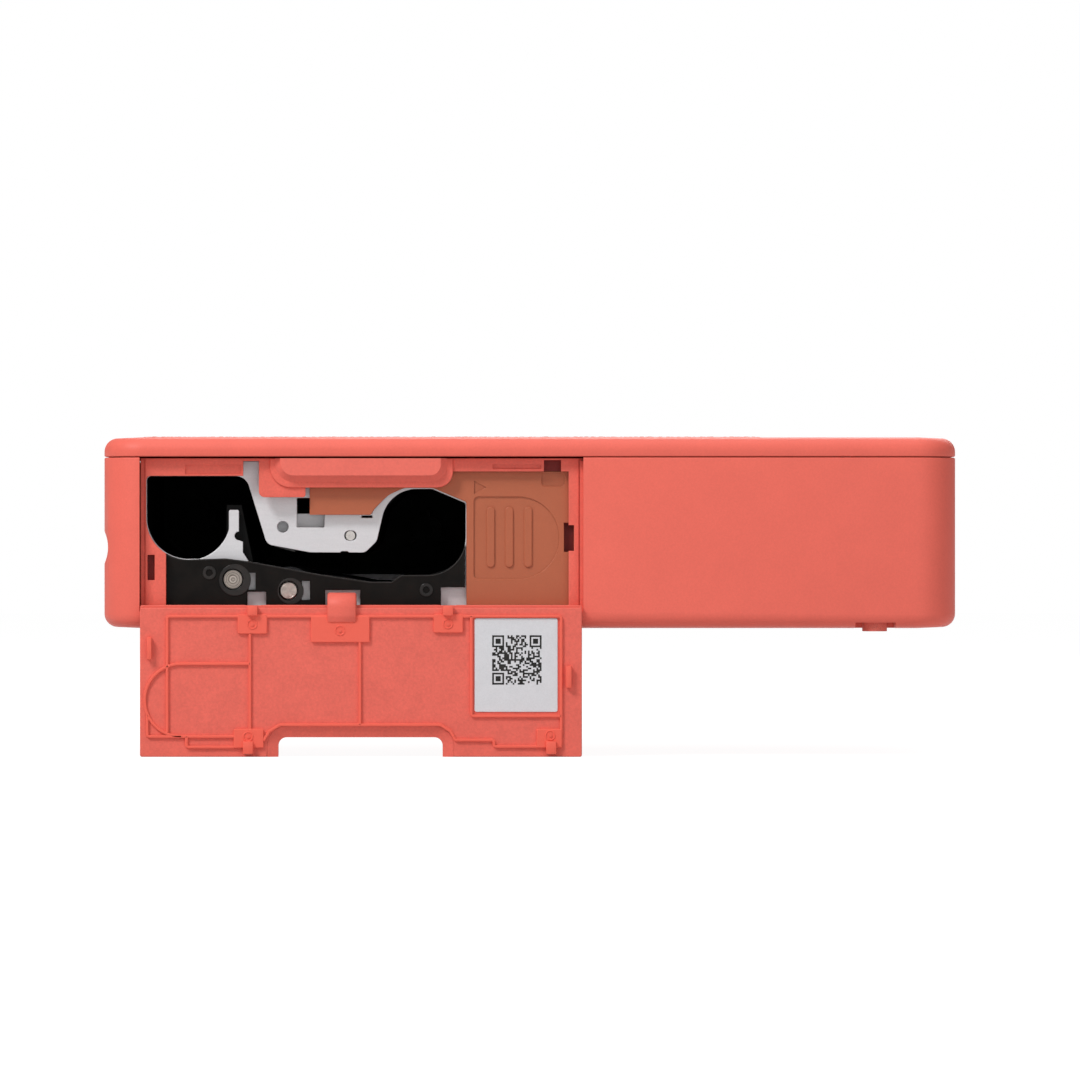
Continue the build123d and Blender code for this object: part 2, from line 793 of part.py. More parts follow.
pinion_phase = 0.0
reduction_large_phase = mesh_phase(pinion_phase, pinion_teeth, reduction_large_teeth,
                                   direction(motor_axis, reduction_axis))
reduction_small_phase = 0.0
long_idler_phase = mesh_phase(reduction_small_phase, reduction_small_teeth, long_idler_teeth,
                              direction(reduction_axis, long_idler_axis))
short_idler_phase = mesh_phase(long_idler_phase, long_idler_teeth, short_idler_teeth,
                               direction(long_idler_axis, short_idler_axis))
feed_phase = mesh_phase(short_idler_phase, short_idler_teeth, feed_teeth,
                        direction(short_idler_axis, feed_axis))
takeup_phase = mesh_phase(feed_phase, feed_teeth, takeup_teeth,
                          direction(feed_axis, takeup_axis))
pickup_idler_phase = mesh_phase(pinion_phase, pinion_teeth, pickup_idler_teeth,
                                direction(motor_axis, pickup_idler_axis))
pickup_phase = mesh_phase(pickup_idler_phase, pickup_idler_teeth, pickup_teeth,
                          direction(pickup_idler_axis, pickup_axis))
post_radius = 1.0
post_places = [
    (reduction_axis, plane_two, plane_one[0]), (long_idler_axis, plane_two, plane_two[0]),
    (short_idler_axis, plane_two, plane_two[0]), (pickup_idler_axis, plane_one, plane_one[0])]


def motor_pinion():
    return gear(motor_axis, pinion_teeth, pinion_phase, plane_one, 0.75)


def motor_shaft():
    return rod(motor_axis, 0.75, plane_one[0] - 0.4, 36.0)


def reduction_gear():
    large = gear(reduction_axis, reduction_large_teeth, reduction_large_phase, plane_one,
                 post_radius + running_gap)
    small = gear(reduction_axis, reduction_small_teeth, reduction_small_phase,
                 (plane_one[1], plane_two[1]), post_radius + running_gap)
    return large + small


def long_idler_gear():
    return gear(long_idler_axis, long_idler_teeth, long_idler_phase, plane_two,
                post_radius + running_gap)


def short_idler_gear():
    return gear(short_idler_axis, short_idler_teeth, short_idler_phase, plane_two,
                post_radius + running_gap)


def pickup_idler_gear():
    return gear(pickup_idler_axis, pickup_idler_teeth, pickup_idler_phase, plane_one,
                post_radius + running_gap)


def feed_gear():
    return gear(feed_axis, feed_teeth, feed_phase, plane_two, 1.5)


def takeup_gear():
    return gear(takeup_axis, takeup_teeth, takeup_phase, plane_two, 1.5)


def pickup_gear():
    return gear(pickup_axis, pickup_teeth, pickup_phase, plane_one, pickup_shaft_radius)


def side_frame_far():
    # steel plate that carries the far ends of the shafts and the gear posts
    shape = side_rect(-66.3, 22.0, floor_top, 28.6, 0.8)
    shape = shape - side_rect(12.0, 24.0, 1.0, 8.0, 0.8)
    shape = shape - Pos(*feed_axis) * Circle(feed_bush_radius)
    shape = shape - Pos(*platen_axis) * Circle(platen_bush_radius)
    running_holes = [(takeup_axis, spindle_shaft_radius), (supply_axis, spindle_shaft_radius),
                     (pickup_axis, pickup_shaft_radius), (head_axis, head_rod_radius)]
    for axis, radius in running_holes:
        shape = shape - Pos(*axis) * Circle(radius + running_gap)
    # lightening slot above the ribbon path and a fixing hole at the lower left
    shape = shape - Pos(-42.0, 22.0) * SlotOverall(12, 5) - Pos(-56.5, 5.2) * Circle(1.2)
    return side_slab(shape, far_frame_front, far_frame_back)


def gear_posts():
    # each post has a shoulder that holds its gear off the frame
    posts = []
    for place, plane, foot in post_places:
        posts.append(rod(place, 1.4, far_frame_back, foot - 0.1)
                     + rod(place, post_radius, foot - 0.1, plane[1] + 0.3))
    return posts


motor_can_start = 34.4
motor_can_end = 48.6
motor_radius = 7.5


def drive_motor():
    can = rod(motor_axis, motor_radius, motor_can_start, motor_can_end)
    rear = rod(motor_axis, motor_radius - 0.8, motor_can_end, motor_can_end + 0.5)
    plug = block(motor_axis[0] - 2.5, motor_axis[0] + 2.5, 40, 46, 21.2, 23.0)
    return can + rear + plug - rod(motor_axis, 0.85, 30, 36.2)


def motor_bracket():
    shape = side_rect(-6.5, 10.5, 3.4, 26.0, 1.0)
    shape = shape - Pos(*motor_axis) * Circle(0.95)
    plate = side_slab(shape, 33.6, motor_can_start)
    for x, z in ((3.0, 25.0), (8.6, 4.8)):
        plate = plate + rod((x, z), 0.95, far_frame_back, 33.7)
    return plate


# ---------------------------------------------------------------- tray end

def tray_bay():
    # open-ended moulding that takes the paper cassette
    x0, x1 = 12.0, end_x - wall - 0.2
    outer = block(x0, x1, tray_near - 0.6, tray_far + 0.6, 2.4, 21.0)
    inner = block(x0 + 1.2, x1 + 1, tray_near + 0.6, tray_far - 0.6, 3.6, 19.8)
    bay = outer - inner
    bay = bay - block(x0 - 1, x0 + 3, tray_near + 3, tray_far - 3, 8.5, 15.5)
    bay = bay - block(9, 21.5, -20.5, 9, 14.5, 22)
    bay = bay - rod(pickup_axis, 3.0, -20.7, 60)
    for y in (-34.0, 18.0):
        bay = bay + block(x0 + 1, x1 - 4, y - 0.6, y + 0.6, 3.5, 4.2)
    return bay


def pickup_bearing():
    # saddle on the tray bay that holds the inner end of the pick-up shaft
    post = block(12.6, 17.4, -24.0, -20.8, 20.5, 24.4)
    return post - rod(pickup_axis, pickup_shaft_radius + running_gap, -22.5, 0)


def end_cover():
    y0, y1 = tray_near + 0.2, tray_far - 0.2
    panel = block(end_x - 1.6, end_x, y0, y1, cover_axis_z, tray_top - 0.2)
    top_edges = panel.edges().filter_by(Axis.X).group_by(Axis.Z)[-1]
    panel = fillet(top_edges, 1.5)
    barrel = rod((cover_axis_x, cover_axis_z), cover_barrel_radius, y0, y1)
    pins = rod((cover_axis_x, cover_axis_z), cover_pin_radius, tray_near - 1.0, tray_far + 1.0)
    cover = panel + barrel + pins
    scoop = Pos(end_x + 8.2, (y0 + y1) / 2, tray_top - 1.5) * Rot(90, 0, 0) * Cylinder(9, 16)
    for y in (-28.0, -8.0, 12.0):
        cover = cover + block(end_x - 2.2, end_x - 1.5, y - 0.5, y + 0.5, 7.0, 17.5)
    return cover - scoop


# ---------------------------------------------------------------- electronics

usb_x = 50.0
usb_z = 25.0
pcb_top = 23.2


def main_board():
    board = block(24, 69, -1, 48.6, pcb_top - 1.2, pcb_top)
    board = board - block(60, 70, 40, 50, 20, 25)
    chips = ((33, 12, 9, 9, 1.2), (47, 14, 7, 7, 1.0), (60, 12, 8, 5, 1.0), (36, 30, 6, 4, 2.4),
             (50, 31, 5, 5, 3.0), (60, 28, 4, 6, 1.6), (29, 38, 3, 8, 3.2))
    for x, y, w, d, h in chips:
        board = board + block(x - w / 2, x + w / 2, y - d / 2, y + d / 2, pcb_top, pcb_top + h)
    for x in (28, 64):
        board = board + block(x - 1, x + 1, 2, 4, 21.0, pcb_top - 1.1)
    return board


def usb_socket():
    outer = SlotOverall(8.94, 3.16)
    inner = SlotOverall(8.34, 2.56)
    shell = extrude(Plane.XZ.offset(-(side_y - 0.4)) * (Pos(usb_x, usb_z) * (outer - inner)), 7.3)
    back = block(usb_x - 4, usb_x + 4, side_y - 7.7, side_y - 6.9, pcb_top, usb_z + 1.3)
    tongue = block(usb_x - 3.3, usb_x + 3.3, side_y - 7.0, side_y - 1.2, usb_z - 0.35, usb_z + 0.35)
    return shell + back + tongue


def battery_pack():
    cell = block(26, 68, -45.0, -3.0, 21.0, 26.6)
    return fillet(cell.edges().filter_by(Axis.Y), 1.6)


# ---------------------------------------------------------------- eject slider

thumb_centre = (-2.02, 15.46)
thumb_radius = 7.03


def eject_slider():
    plate = outline(
        (-10.84, 2.1),
        (-10.84, 21.6),
        (-16.6, 24.0, 2.0),
        (-21.4, 24.0, 4.0),
        (-25.6, 21.4, 3.0),
        (-27.2, 19.74, 0.3),
        (-37.64, 19.74),
        (-37.64, 27.0),
        (-14.0, 27.0),
        (-12.6, 28.9),
        (8.6, 28.9),
        (8.6, 2.1),
    )
    plate = plate - side_rect(5.86, 6.63 + 0.9, 13.06, 18.03)
    plate = plate - side_rect(1.6, 6.0, 26.9, 29.5)
    for x, z in slider_pin_places:
        slot_length = slider_travel + 2 * slider_pin_radius + 0.4
        plate = plate - Pos(x - slider_travel / 2, z) * SlotOverall(
            slot_length, 2 * (slider_pin_radius + running_gap))
    slider = side_slab(plate, slider_front, slider_back)
    # recessed thumb pad with raised ribs, clearance pocket and arrow
    pad = side_rect(-9.55, thumb_centre[0], thumb_centre[1] - thumb_radius,
                    thumb_centre[1] + thumb_radius)
    pad = pad + Pos(*thumb_centre) * Circle(thumb_radius)
    slider = slider - side_slab(pad, slider_front - 1, slider_front + 0.3)
    for x in (-6.7, -3.51, -0.28):
        rib = side_rect(x - 0.7, x + 0.7, 10.4, 20.8, 0.69)
        slider = slider + side_slab(rib, slider_front - 0.05, slider_front + 0.4)
    pocket = side_rect(2.05, 5.9, 24.3, 28.0, 0.6)
    slider = slider - side_slab(pocket, slider_front - 1, slider_front + 0.5)
    arrow = outline((-9.5, 25.2), (-7.5, 24.1), (-9.5, 23.0))
    slider = slider - side_slab(arrow, slider_front - 1, slider_front + 0.2)
    return slider


def eject_spring():
    # flat wire spring between the slider's edge and a post on the frame
    path = FilletPolyline((9.2, 22.0), (10.6, 23.2), (12.0, 20.8), (13.4, 23.2), (14.4, 22.2),
                          radius=0.3)
    return side_slab(trace(path, 0.3), slider_front + 0.1, slider_back - 0.1)


# ---------------------------------------------------------------- cassette door

door_pads = [
    (-49.79, -44.74, -0.89, 2.45), (-16.4, -11.35, -0.72, 2.45), (-37.29, -27.28, -2.35, 2.11),
    (-50.48, -45.34, -20.33, -17.07), (1.15, 5.51, -20.33, -17.07)]
top_hooks = [-47.25, -13.92]
free_hooks = [-48.0, 3.67]
hook_width = 1.75


def door_rib(path):
    return side_slab(trace(path, rib_width), door_inner - rib_height, door_inner + 0.1)


def door_rib_paths():
    top = 2.1
    low = -18.4
    left_rib = -47.7
    bow_x, bow_z, bow_radius = -59.45, -12.2, 6.2
    bow_top = bow_z + bow_radius
    bow = ThreePointArc((bow_x, bow_top), (bow_x - bow_radius, bow_z), (bow_x, bow_z - bow_radius))
    return [
        Polyline((-61.8, -17.7), (-61.8, top), (5.35, top), (5.35, -19.9)),
        Line((left_rib, -0.9), (left_rib, -17.1)),
        Polyline((-9.95, top), (-9.95, -14.9), (5.35, -14.9)),
        Line((-28.95, -2.3), (-28.95, -16.4)),
        Polyline((-65.2, -14.8), (-65.2, low), (-50.4, low)),
        Polyline((-58.5, low), (-58.5, -20.2), (-50.4, -20.2)),
        # follows the notch at a distance, clear of the sloping band when the door is shut
        Polyline((-45.4, -19.1), (-44.4, -17.5), (-42.6, -16.4), (-15.2, -16.4), (-13.5, -17.5),
                 (-12.7, -19.0), (-6.1, -19.0), (-6.1, -20.1), (1.2, -20.1)),
        bow,
        Line((bow_x, bow_top), (left_rib, bow_top)),
    ]


def cassette_door():
    panel = outline(
        (door_left, door_top, 0.35),
        (door_right, door_top, 0.35),
        (door_right, door_bottom, 0.35),
        (notch_right, door_bottom, 0.3),
        (notch_right, notch_top, 1.4),
        (notch_left, notch_top, 1.4),
        (notch_left, door_bottom, 0.3),
        (door_left, door_bottom, 0.35),
    )
    door = side_slab(panel, door_inner, door_outer)
    for path in door_rib_paths():
        door = door + door_rib(path)
    for x0, x1, z0, z1 in door_pads:
        door = door + block(x0, x1, door_inner - pad_height, door_inner, z0, z1)
    return door + door_hooks() + door_tabs()


def door_hooks():
    # snap fingers: two at the hinge edge, two at the free edge
    tip = door_inner - hook_height
    places = [(x, 2.2, door_top - 0.05) for x in top_hooks]
    places = places + [(x, -21.4, -19.2) for x in free_hooks]
    hooks = None
    for x, z0, z1 in places:
        hook = block(x - hook_width / 2, x + hook_width / 2, tip, door_inner, z0, z1)
        hook = chamfer(hook.edges().filter_by(Axis.X).sort_by(Axis.Y)[0:2], 0.3)
        hooks = hook if hooks is None else hooks + hook
    return hooks


def door_tabs():
    left = block(-65.2, -64.43, door_inner - 1.2, door_inner + 0.1, -5.26, -1.49)
    right = block(6.2, 7.14, door_inner - 1.2, door_inner + 0.1, -10.09, -6.37)
    return left + right


def door_label():
    return side_slab(side_rect(-9.4, 4.75, -14.2, 1.75, 0.35), door_inner - 0.15, door_inner)


def hinge_strap():
    # flexible band from the door's middle pad over the hinge line into the case
    inner, outer, thick = 1.6, 2.62, 5.0
    sector = Sketch() + make_face(
        Curve() + [
            CenterArc((0, 0), outer, 14, 196),
            CenterArc((0, 0), inner, 14, 196),
            Line(polar((0, 0), inner, 14), polar((0, 0), outer, 14)),
            Line(polar((0, 0), inner, 210), polar((0, 0), outer, 210)),
        ])
    plane = Plane(origin=(-34.73, hinge_y, hinge_z), x_dir=(0, 1, 0), z_dir=(1, 0, 0))
    return extrude(plane * sector, thick) - cassette_door()


# ---------------------------------------------------------------- write the parts

def write(name, shapes):
    solids = shapes if isinstance(shapes, list) else [shapes]
    pieces = []
    for shape in solids:
        pieces.extend(shape.solids())
    export_step(Compound(children=pieces), f"parts/{name}.step")


write("bottom_case", bottom_case())
write("top_cover", top_cover())
write("texture_panel", texture_panel())
write("rubber_feet", rubber_feet())
write("case_screws", case_screws())
write("power_button", power_button())
write("button_board", button_board())
write("status_lens", status_lens())
write("bay_bezel", bay_bezel())
write("side_frame_near", near_frame_plate())
write("side_frame_far", side_frame_far())
write("slider_pins", slider_pins())
write("roller_side_cover", roller_side_cover())
write("cover_screws", cover_screws())
write("bay_liner", bay_liner())
write("cassette_guide", cassette_guide())
write("feed_roller", feed_roller())
write("platen_shaft", platen_shaft())
write("platen_rubber", platen_rubber())
write("pinch_roller", pinch_roller())
write("feed_bushes", feed_bushes())
write("platen_bushes", platen_bushes())
write("pickup_shaft", pickup_shaft())
write("pickup_tyres", pickup_tyres())
write("pickup_gear", pickup_gear())
write("takeup_spindle", spindle(takeup_axis, plane_two[1] + 0.3))
write("supply_spindle", spindle(supply_axis, far_frame_back + 0.5))
write("head_arm", head_arm())
write("head_rod", head_rod())
write("heat_sink", heat_sink())
write("print_head", print_head())
write("motor_pinion", motor_pinion())
write("motor_shaft", motor_shaft())
write("reduction_gear", reduction_gear())
write("long_idler_gear", long_idler_gear())
write("short_idler_gear", short_idler_gear())
write("pickup_idler_gear", pickup_idler_gear())
write("feed_gear", feed_gear())
write("takeup_gear", takeup_gear())
write("gear_posts", gear_posts())
write("drive_motor", drive_motor())
write("motor_bracket", motor_bracket())
write("tray_bay", tray_bay() + pickup_bearing())
write("end_cover", end_cover())
write("main_board", main_board())
write("usb_socket", usb_socket())
write("battery_pack", battery_pack())
write("eject_slider", eject_slider())
write("eject_spring", eject_spring())
write("cassette_door", cassette_door())
write("door_label", door_label())
write("hinge_strap", hinge_strap())
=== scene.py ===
import json
import math
import bpy
import bmesh
from mathutils import Matrix, Vector

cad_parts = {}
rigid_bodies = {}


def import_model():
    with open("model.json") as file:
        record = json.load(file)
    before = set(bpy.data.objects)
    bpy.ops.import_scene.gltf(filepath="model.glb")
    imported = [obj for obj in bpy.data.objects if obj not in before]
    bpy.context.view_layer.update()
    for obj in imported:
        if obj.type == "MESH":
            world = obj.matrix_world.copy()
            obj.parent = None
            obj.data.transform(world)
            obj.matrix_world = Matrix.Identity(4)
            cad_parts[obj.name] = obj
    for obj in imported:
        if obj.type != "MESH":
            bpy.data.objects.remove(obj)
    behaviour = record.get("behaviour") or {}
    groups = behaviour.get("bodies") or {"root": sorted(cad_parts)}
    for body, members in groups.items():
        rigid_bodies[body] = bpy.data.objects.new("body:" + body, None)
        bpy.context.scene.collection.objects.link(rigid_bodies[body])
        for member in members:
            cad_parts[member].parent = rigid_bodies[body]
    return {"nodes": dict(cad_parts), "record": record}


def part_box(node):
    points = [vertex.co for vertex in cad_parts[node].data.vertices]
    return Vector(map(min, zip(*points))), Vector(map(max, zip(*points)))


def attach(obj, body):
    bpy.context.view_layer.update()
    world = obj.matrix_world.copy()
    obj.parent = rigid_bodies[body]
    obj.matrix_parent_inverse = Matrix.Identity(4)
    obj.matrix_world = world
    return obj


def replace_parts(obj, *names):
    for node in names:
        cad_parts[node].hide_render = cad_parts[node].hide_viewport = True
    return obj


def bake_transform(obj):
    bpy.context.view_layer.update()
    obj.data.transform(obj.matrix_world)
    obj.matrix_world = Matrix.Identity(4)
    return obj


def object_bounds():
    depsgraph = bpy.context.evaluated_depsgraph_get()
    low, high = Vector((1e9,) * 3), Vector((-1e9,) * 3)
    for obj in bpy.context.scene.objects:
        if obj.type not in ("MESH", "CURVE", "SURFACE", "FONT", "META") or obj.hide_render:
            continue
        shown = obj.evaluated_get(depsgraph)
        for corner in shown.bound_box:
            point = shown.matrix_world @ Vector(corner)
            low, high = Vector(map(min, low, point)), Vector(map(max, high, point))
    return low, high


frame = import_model()
cadLow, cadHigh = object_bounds()
nodes = frame["nodes"]
scene = bpy.context.scene
mm = 0.001
print("frame loaded:", len(nodes), "nodes")


# ---- shader maths: a socket that takes part in sums

class Val:
    def __init__(self, finish, socket):
        self.finish = finish
        self.socket = socket

    def op(self, kind, other):
        return self.finish.node("ShaderNodeMath", {"operation": kind}, {0: self, 1: other})

    def __add__(self, other):
        return self.op("ADD", other)

    def __sub__(self, other):
        return self.op("SUBTRACT", other)

    def __mul__(self, other):
        return self.op("MULTIPLY", other)

    def __gt__(self, other):
        return self.op("GREATER_THAN", other)

    def __lt__(self, other):
        return self.op("LESS_THAN", other)


class Finish:
    # one material; every node comes from node()
    def __init__(self, name):
        self.material = bpy.data.materials.new(name)
        self.material.use_nodes = True
        self.tree = self.material.node_tree
        self.tree.nodes.clear()
        self.place = self.node("ShaderNodeTexCoord", output="Object")

    def node(self, kind, settings=None, inputs=None, output=0):
        made = self.tree.nodes.new(kind)
        for key, value in (settings or {}).items():
            setattr(made, key, value)
        for key, value in (inputs or {}).items():
            if isinstance(value, Val):
                self.tree.links.new(value.socket, made.inputs[key])
            else:
                made.inputs[key].default_value = value
        return Val(self, made.outputs[output])

    def noise(self, size, detail=2.0, rough=0.5, stretch=None):
        # size is the width of one blotch, in millimetres
        place = self.place
        if stretch:
            place = self.node("ShaderNodeMapping", None, {"Vector": place, "Scale": stretch})
        inputs = {"Vector": place, "Scale": 1 / (size * mm), "Detail": detail, "Roughness": rough}
        return self.node("ShaderNodeTexNoise", None, inputs)

    def mix(self, factor, a, b):
        return self.node("ShaderNodeMix", {"data_type": "RGBA"}, {0: factor, 6: a, 7: b}, 2)

    def spread(self, value, low=0.3, high=0.7, toLow=0.0, toHigh=1.0):
        inputs = {"Value": value, "From Min": low, "From Max": high,
                  "To Min": toLow, "To Max": toHigh}
        return self.node("ShaderNodeMapRange", None, inputs)

    def axis(self, name):
        return self.node("ShaderNodeSeparateXYZ", None, {0: self.place}, name)

    def bump(self, height, depth):
        # depth in millimetres
        return self.node("ShaderNodeBump", None, {"Height": height, "Distance": depth * mm})

    def close(self, colour, rough, normal=None, **fixed):
        inputs = {"Base Color": colour, "Roughness": rough}
        inputs.update(fixed)
        if normal:
            inputs["Normal"] = normal
        shader = self.node("ShaderNodeBsdfPrincipled", None, inputs)
        self.end(shader)
        return self.material

    def end(self, shader):
        made = self.tree.nodes.new("ShaderNodeOutputMaterial")
        self.tree.links.new(shader.socket, made.inputs[0])


def shade(colour, factor):
    return (*[min(1.0, c * factor) for c in colour], 1)


# ---- finishes

def mouldedPlastic(name, look):
    # spark-textured plastic: fine grain in tone and relief, slow mottling over it
    f = Finish(name)
    grain = f.noise(look["grain"], 3, 0.65)
    slow = f.noise(look["mottle"], 2, 0.5)
    tone = f.spread(grain) * 0.65 + f.spread(slow) * 0.35
    colour = f.mix(tone, shade(look["colour"], 1 - look["vary"]), shade(look["colour"], 1 + look["vary"]))
    if "proudColour" in look:
        # ribs and pads stand out of the textured face, smooth and a little fresher
        proud = f.spread(f.axis("Y"), look["proudFrom"] * mm, look["proudTo"] * mm)
        colour = f.mix(proud, colour, shade(look["proudColour"], 1.0))
    rough = f.spread(grain, 0.25, 0.75, look["rough"] - 0.06, look["rough"] + 0.06)
    normal = f.bump(grain, look["relief"])
    return f.close(colour, rough, normal, **{"Specular IOR Level": look.get("specular", 0.4)})


def coatedSteel(name, look):
    # grey coated sheet with a fine sparkle and faint rolling marks
    f = Finish(name)
    speck = f.noise(look["speck"], 2, 0.7)
    rolled = f.noise(0.5, 3, 0.6, stretch=(0.12, 1, 1))
    tone = f.spread(speck) * 0.6 + f.spread(rolled) * 0.4
    colour = f.mix(tone, shade(look["colour"], 0.93), shade(look["colour"], 1.05))
    rough = f.spread(speck, 0.3, 0.7, 0.38, 0.52)
    return f.close(colour, rough, f.bump(speck, 0.006), Metallic=look["metal"])


def brushedMetal(name, look):
    f = Finish(name)
    lines = f.noise(0.35, 3, 0.7, stretch=look["stretch"])
    cloud = f.noise(2.5, 2, 0.5)
    tone = f.spread(lines) * 0.75 + f.spread(cloud) * 0.25
    colour = f.mix(tone, shade(look["colour"], 0.8), shade(look["colour"], 1.12))
    rough = f.spread(lines, 0.3, 0.7, look["rough"] - 0.08, look["rough"] + 0.1)
    return f.close(colour, rough, f.bump(lines, 0.008), Metallic=1.0)


def turnedMetal(name, look):
    # rings left by the lathe round a shaft along Y, at (x, z)
    f = Finish(name)
    dx = f.axis("X") - look["centre"][0] * mm
    dz = f.axis("Z") - look["centre"][1] * mm
    radius = f.node("ShaderNodeMath", {"operation": "SQRT"}, {0: dx * dx + dz * dz})
    turns = 2 * math.pi / (look["pitch"] * mm)
    ring = f.node("ShaderNodeMath", {"operation": "SINE"}, {0: radius * turns})
    cloud = f.noise(0.9, 3, 0.6)
    share = look["ringShare"]
    tone = f.spread(ring, -1, 1) * share + f.spread(cloud) * (1 - share)
    colour = f.mix(tone, shade(look["colour"], 0.62), shade(look["colour"], 1.2))
    return f.close(colour, f.spread(cloud, 0.3, 0.7, 0.28, 0.45), f.bump(ring, 0.012), Metallic=1.0)


def blackPlastic(name, look):
    # satin black with a brown cast where light skims it
    f = Finish(name)
    cloud = f.noise(3.2, 3, 0.55)
    grain = f.noise(0.22, 2, 0.6)
    tone = f.spread(cloud, 0.32, 0.68)
    colour = f.mix(tone, shade(look["colour"], 0.55), shade(look["colour"], 1.5))
    rough = f.spread(cloud, 0.3, 0.7, look["rough"] - 0.08, look["rough"] + 0.1)
    return f.close(colour, rough, f.bump(grain, 0.006), **{"Specular IOR Level": look["specular"]})


def groundRubber(name, look):
    f = Finish(name)
    grit = f.noise(0.16, 3, 0.7)
    colour = f.mix(f.spread(grit), shade(look["colour"], 0.75), shade(look["colour"], 1.25))
    return f.close(colour, f.spread(grit, 0.3, 0.7, 0.7, 0.85), f.bump(grit, 0.02))


def boardFinish(name, look):
    # solder mask over copper tracks, with tinned pads
    f = Finish(name)
    cells = f.node("ShaderNodeTexVoronoi", {"feature": "DISTANCE_TO_EDGE", "distance": "MANHATTAN"},
                   {"Vector": f.place, "Scale": 420.0, "Randomness": 0.35})
    track = cells < 0.09
    grain = f.noise(0.4, 2, 0.5)
    base = f.mix(f.spread(grain), shade(look["colour"], 0.8), shade(look["colour"], 1.2))
    colour = f.mix(track, base, shade(look["track"], 1.0))
    return f.close(colour, 0.35, f.bump(track, 0.01))


def printedLabel(name, look):
    f = Finish(name)
    fibre = f.noise(0.28, 3, 0.7)
    cloud = f.noise(2.0, 2, 0.5)
    tone = f.spread(fibre) * 0.7 + f.spread(cloud) * 0.3
    colour = f.mix(tone, shade(look["colour"], 0.93), shade(look["colour"], 1.05))
    return f.close(colour, f.spread(fibre, 0.3, 0.7, 0.5, 0.62), f.bump(fibre, 0.006))


coral = (0.765, 0.136, 0.098)
coralLook = {"colour": coral, "vary": 0.055, "grain": 0.32, "mottle": 6.0, "relief": 0.012, "rough": 0.5,
             "specular": 0.26}
coralInnerLook = dict(coralLook, vary=0.11, grain=0.42, mottle=3.0, relief=0.03, rough=0.55)
doorLook = dict(coralInnerLook, colour=(0.755, 0.138, 0.102), proudColour=(0.83, 0.128, 0.085),
                proudFrom=-52.72, proudTo=-52.9)
panelLook = dict(coralLook, colour=(0.62, 0.16, 0.10), vary=0.22, relief=0.04)
tabLook = dict(coralInnerLook, vary=0.07, relief=0.016, colour=(0.79, 0.155, 0.116))
brownLook = {"colour": (0.425, 0.113, 0.050), "vary": 0.05, "grain": 0.3, "mottle": 4.0,
             "relief": 0.01, "rough": 0.5}
acetalLook = {"colour": (0.70, 0.68, 0.60), "vary": 0.03, "grain": 0.5, "mottle": 5.0,
              "relief": 0.004, "rough": 0.38}
wrapLook = {"colour": (0.05, 0.055, 0.065), "vary": 0.1, "grain": 0.8, "mottle": 9.0,
            "relief": 0.02, "rough": 0.3}
lensLook = {"colour": (0.82, 0.82, 0.78), "vary": 0.02, "grain": 0.6, "mottle": 2.0,
            "relief": 0.002, "rough": 0.2}
alongY = (1, 0.05, 1)  # stretches the brush marks along a bar


def blackLook(colour, rough, specular):
    return {"colour": colour, "rough": rough, "specular": specular}


def metalLook(colour, rough, stretch=alongY):
    return {"colour": colour, "rough": rough, "stretch": stretch}


finishes = {
    "case_coral": mouldedPlastic("coralShell", coralLook),
    "panel_coral": mouldedPlastic("coralPanel", panelLook),
    "slider_brown": mouldedPlastic("brownSlider", brownLook),
    "guide_black": blackPlastic("blackGuide", blackLook((0.0052, 0.0038, 0.003), 0.45, 0.12)),
    "frame_steel": coatedSteel("coatedSheet", {"colour": (0.66, 0.655, 0.67), "speck": 0.3, "metal": 0.25}),
    "bright_steel": brushedMetal("brightSteel", metalLook((0.62, 0.58, 0.55), 0.35)),
    "heat_aluminium": brushedMetal("extrudedAluminium", metalLook((0.72, 0.72, 0.73), 0.4)),
    "rubber_grey": groundRubber("rollerRubber", {"colour": (0.03, 0.03, 0.032)}),
    "foot_coral": groundRubber("footRubber", {"colour": (0.66, 0.13, 0.095)}),
    "gear_white": mouldedPlastic("acetalWhite", acetalLook),
    "bush_black": blackPlastic("bushBlack", blackLook((0.02, 0.02, 0.02), 0.35, 0.4)),
    "board_green": boardFinish("solderMask", {"colour": (0.012, 0.10, 0.035), "track": (0.03, 0.19, 0.06)}),
    "battery_grey": mouldedPlastic("batteryWrap", wrapLook),
    "screw_steel": brushedMetal("screwSteel", metalLook((0.5, 0.5, 0.52), 0.3, (1, 1, 1))),
    "label_white": printedLabel("labelWhite", {"colour": (0.64, 0.645, 0.67)}),
    "lens_clear": mouldedPlastic("lensDiffuser", lensLook),
    "head_dark": blackPlastic("glazedCeramic", blackLook((0.03, 0.024, 0.02), 0.15, 0.6)),
    "can_steel": brushedMetal("motorCan", metalLook((0.55, 0.55, 0.57), 0.32)),
}
doorFinish = mouldedPlastic("coralDoorInside", doorLook)
innerFinish = mouldedPlastic("coralInside", coralInnerLook)
tabFinish = mouldedPlastic("coralTab", tabLook)
# coral painted dark: the shade inside the bezel slots
slotShadeFinish = mouldedPlastic("coralPaintedShade", dict(coralInnerLook, colour=(0.16, 0.014, 0.011)))
# near black: black plastic made darker still, and painted shade over the white spindles
linerBlackAndShadeFinish = blackPlastic("chamberBlackAndShade", blackLook((0.0012, 0.0011, 0.001), 0.6, 0.12))
# a lighter copy of the black, painted as highlight on rims and the running edge
blackHighlightFinish = blackPlastic("blackPaintedHighlight", blackLook((0.011, 0.0085, 0.0072), 0.36, 0.35))
codeFinish = blackPlastic("printBlack", blackLook((0.018, 0.017, 0.016), 0.5, 0.2))
print("finishes made:", len(bpy.data.materials))

for entry in frame["record"]["subparts"]:
    part = nodes[entry["node"]]
    part.data.materials.clear()
    part.data.materials.append(finishes[entry["material_slot"]])
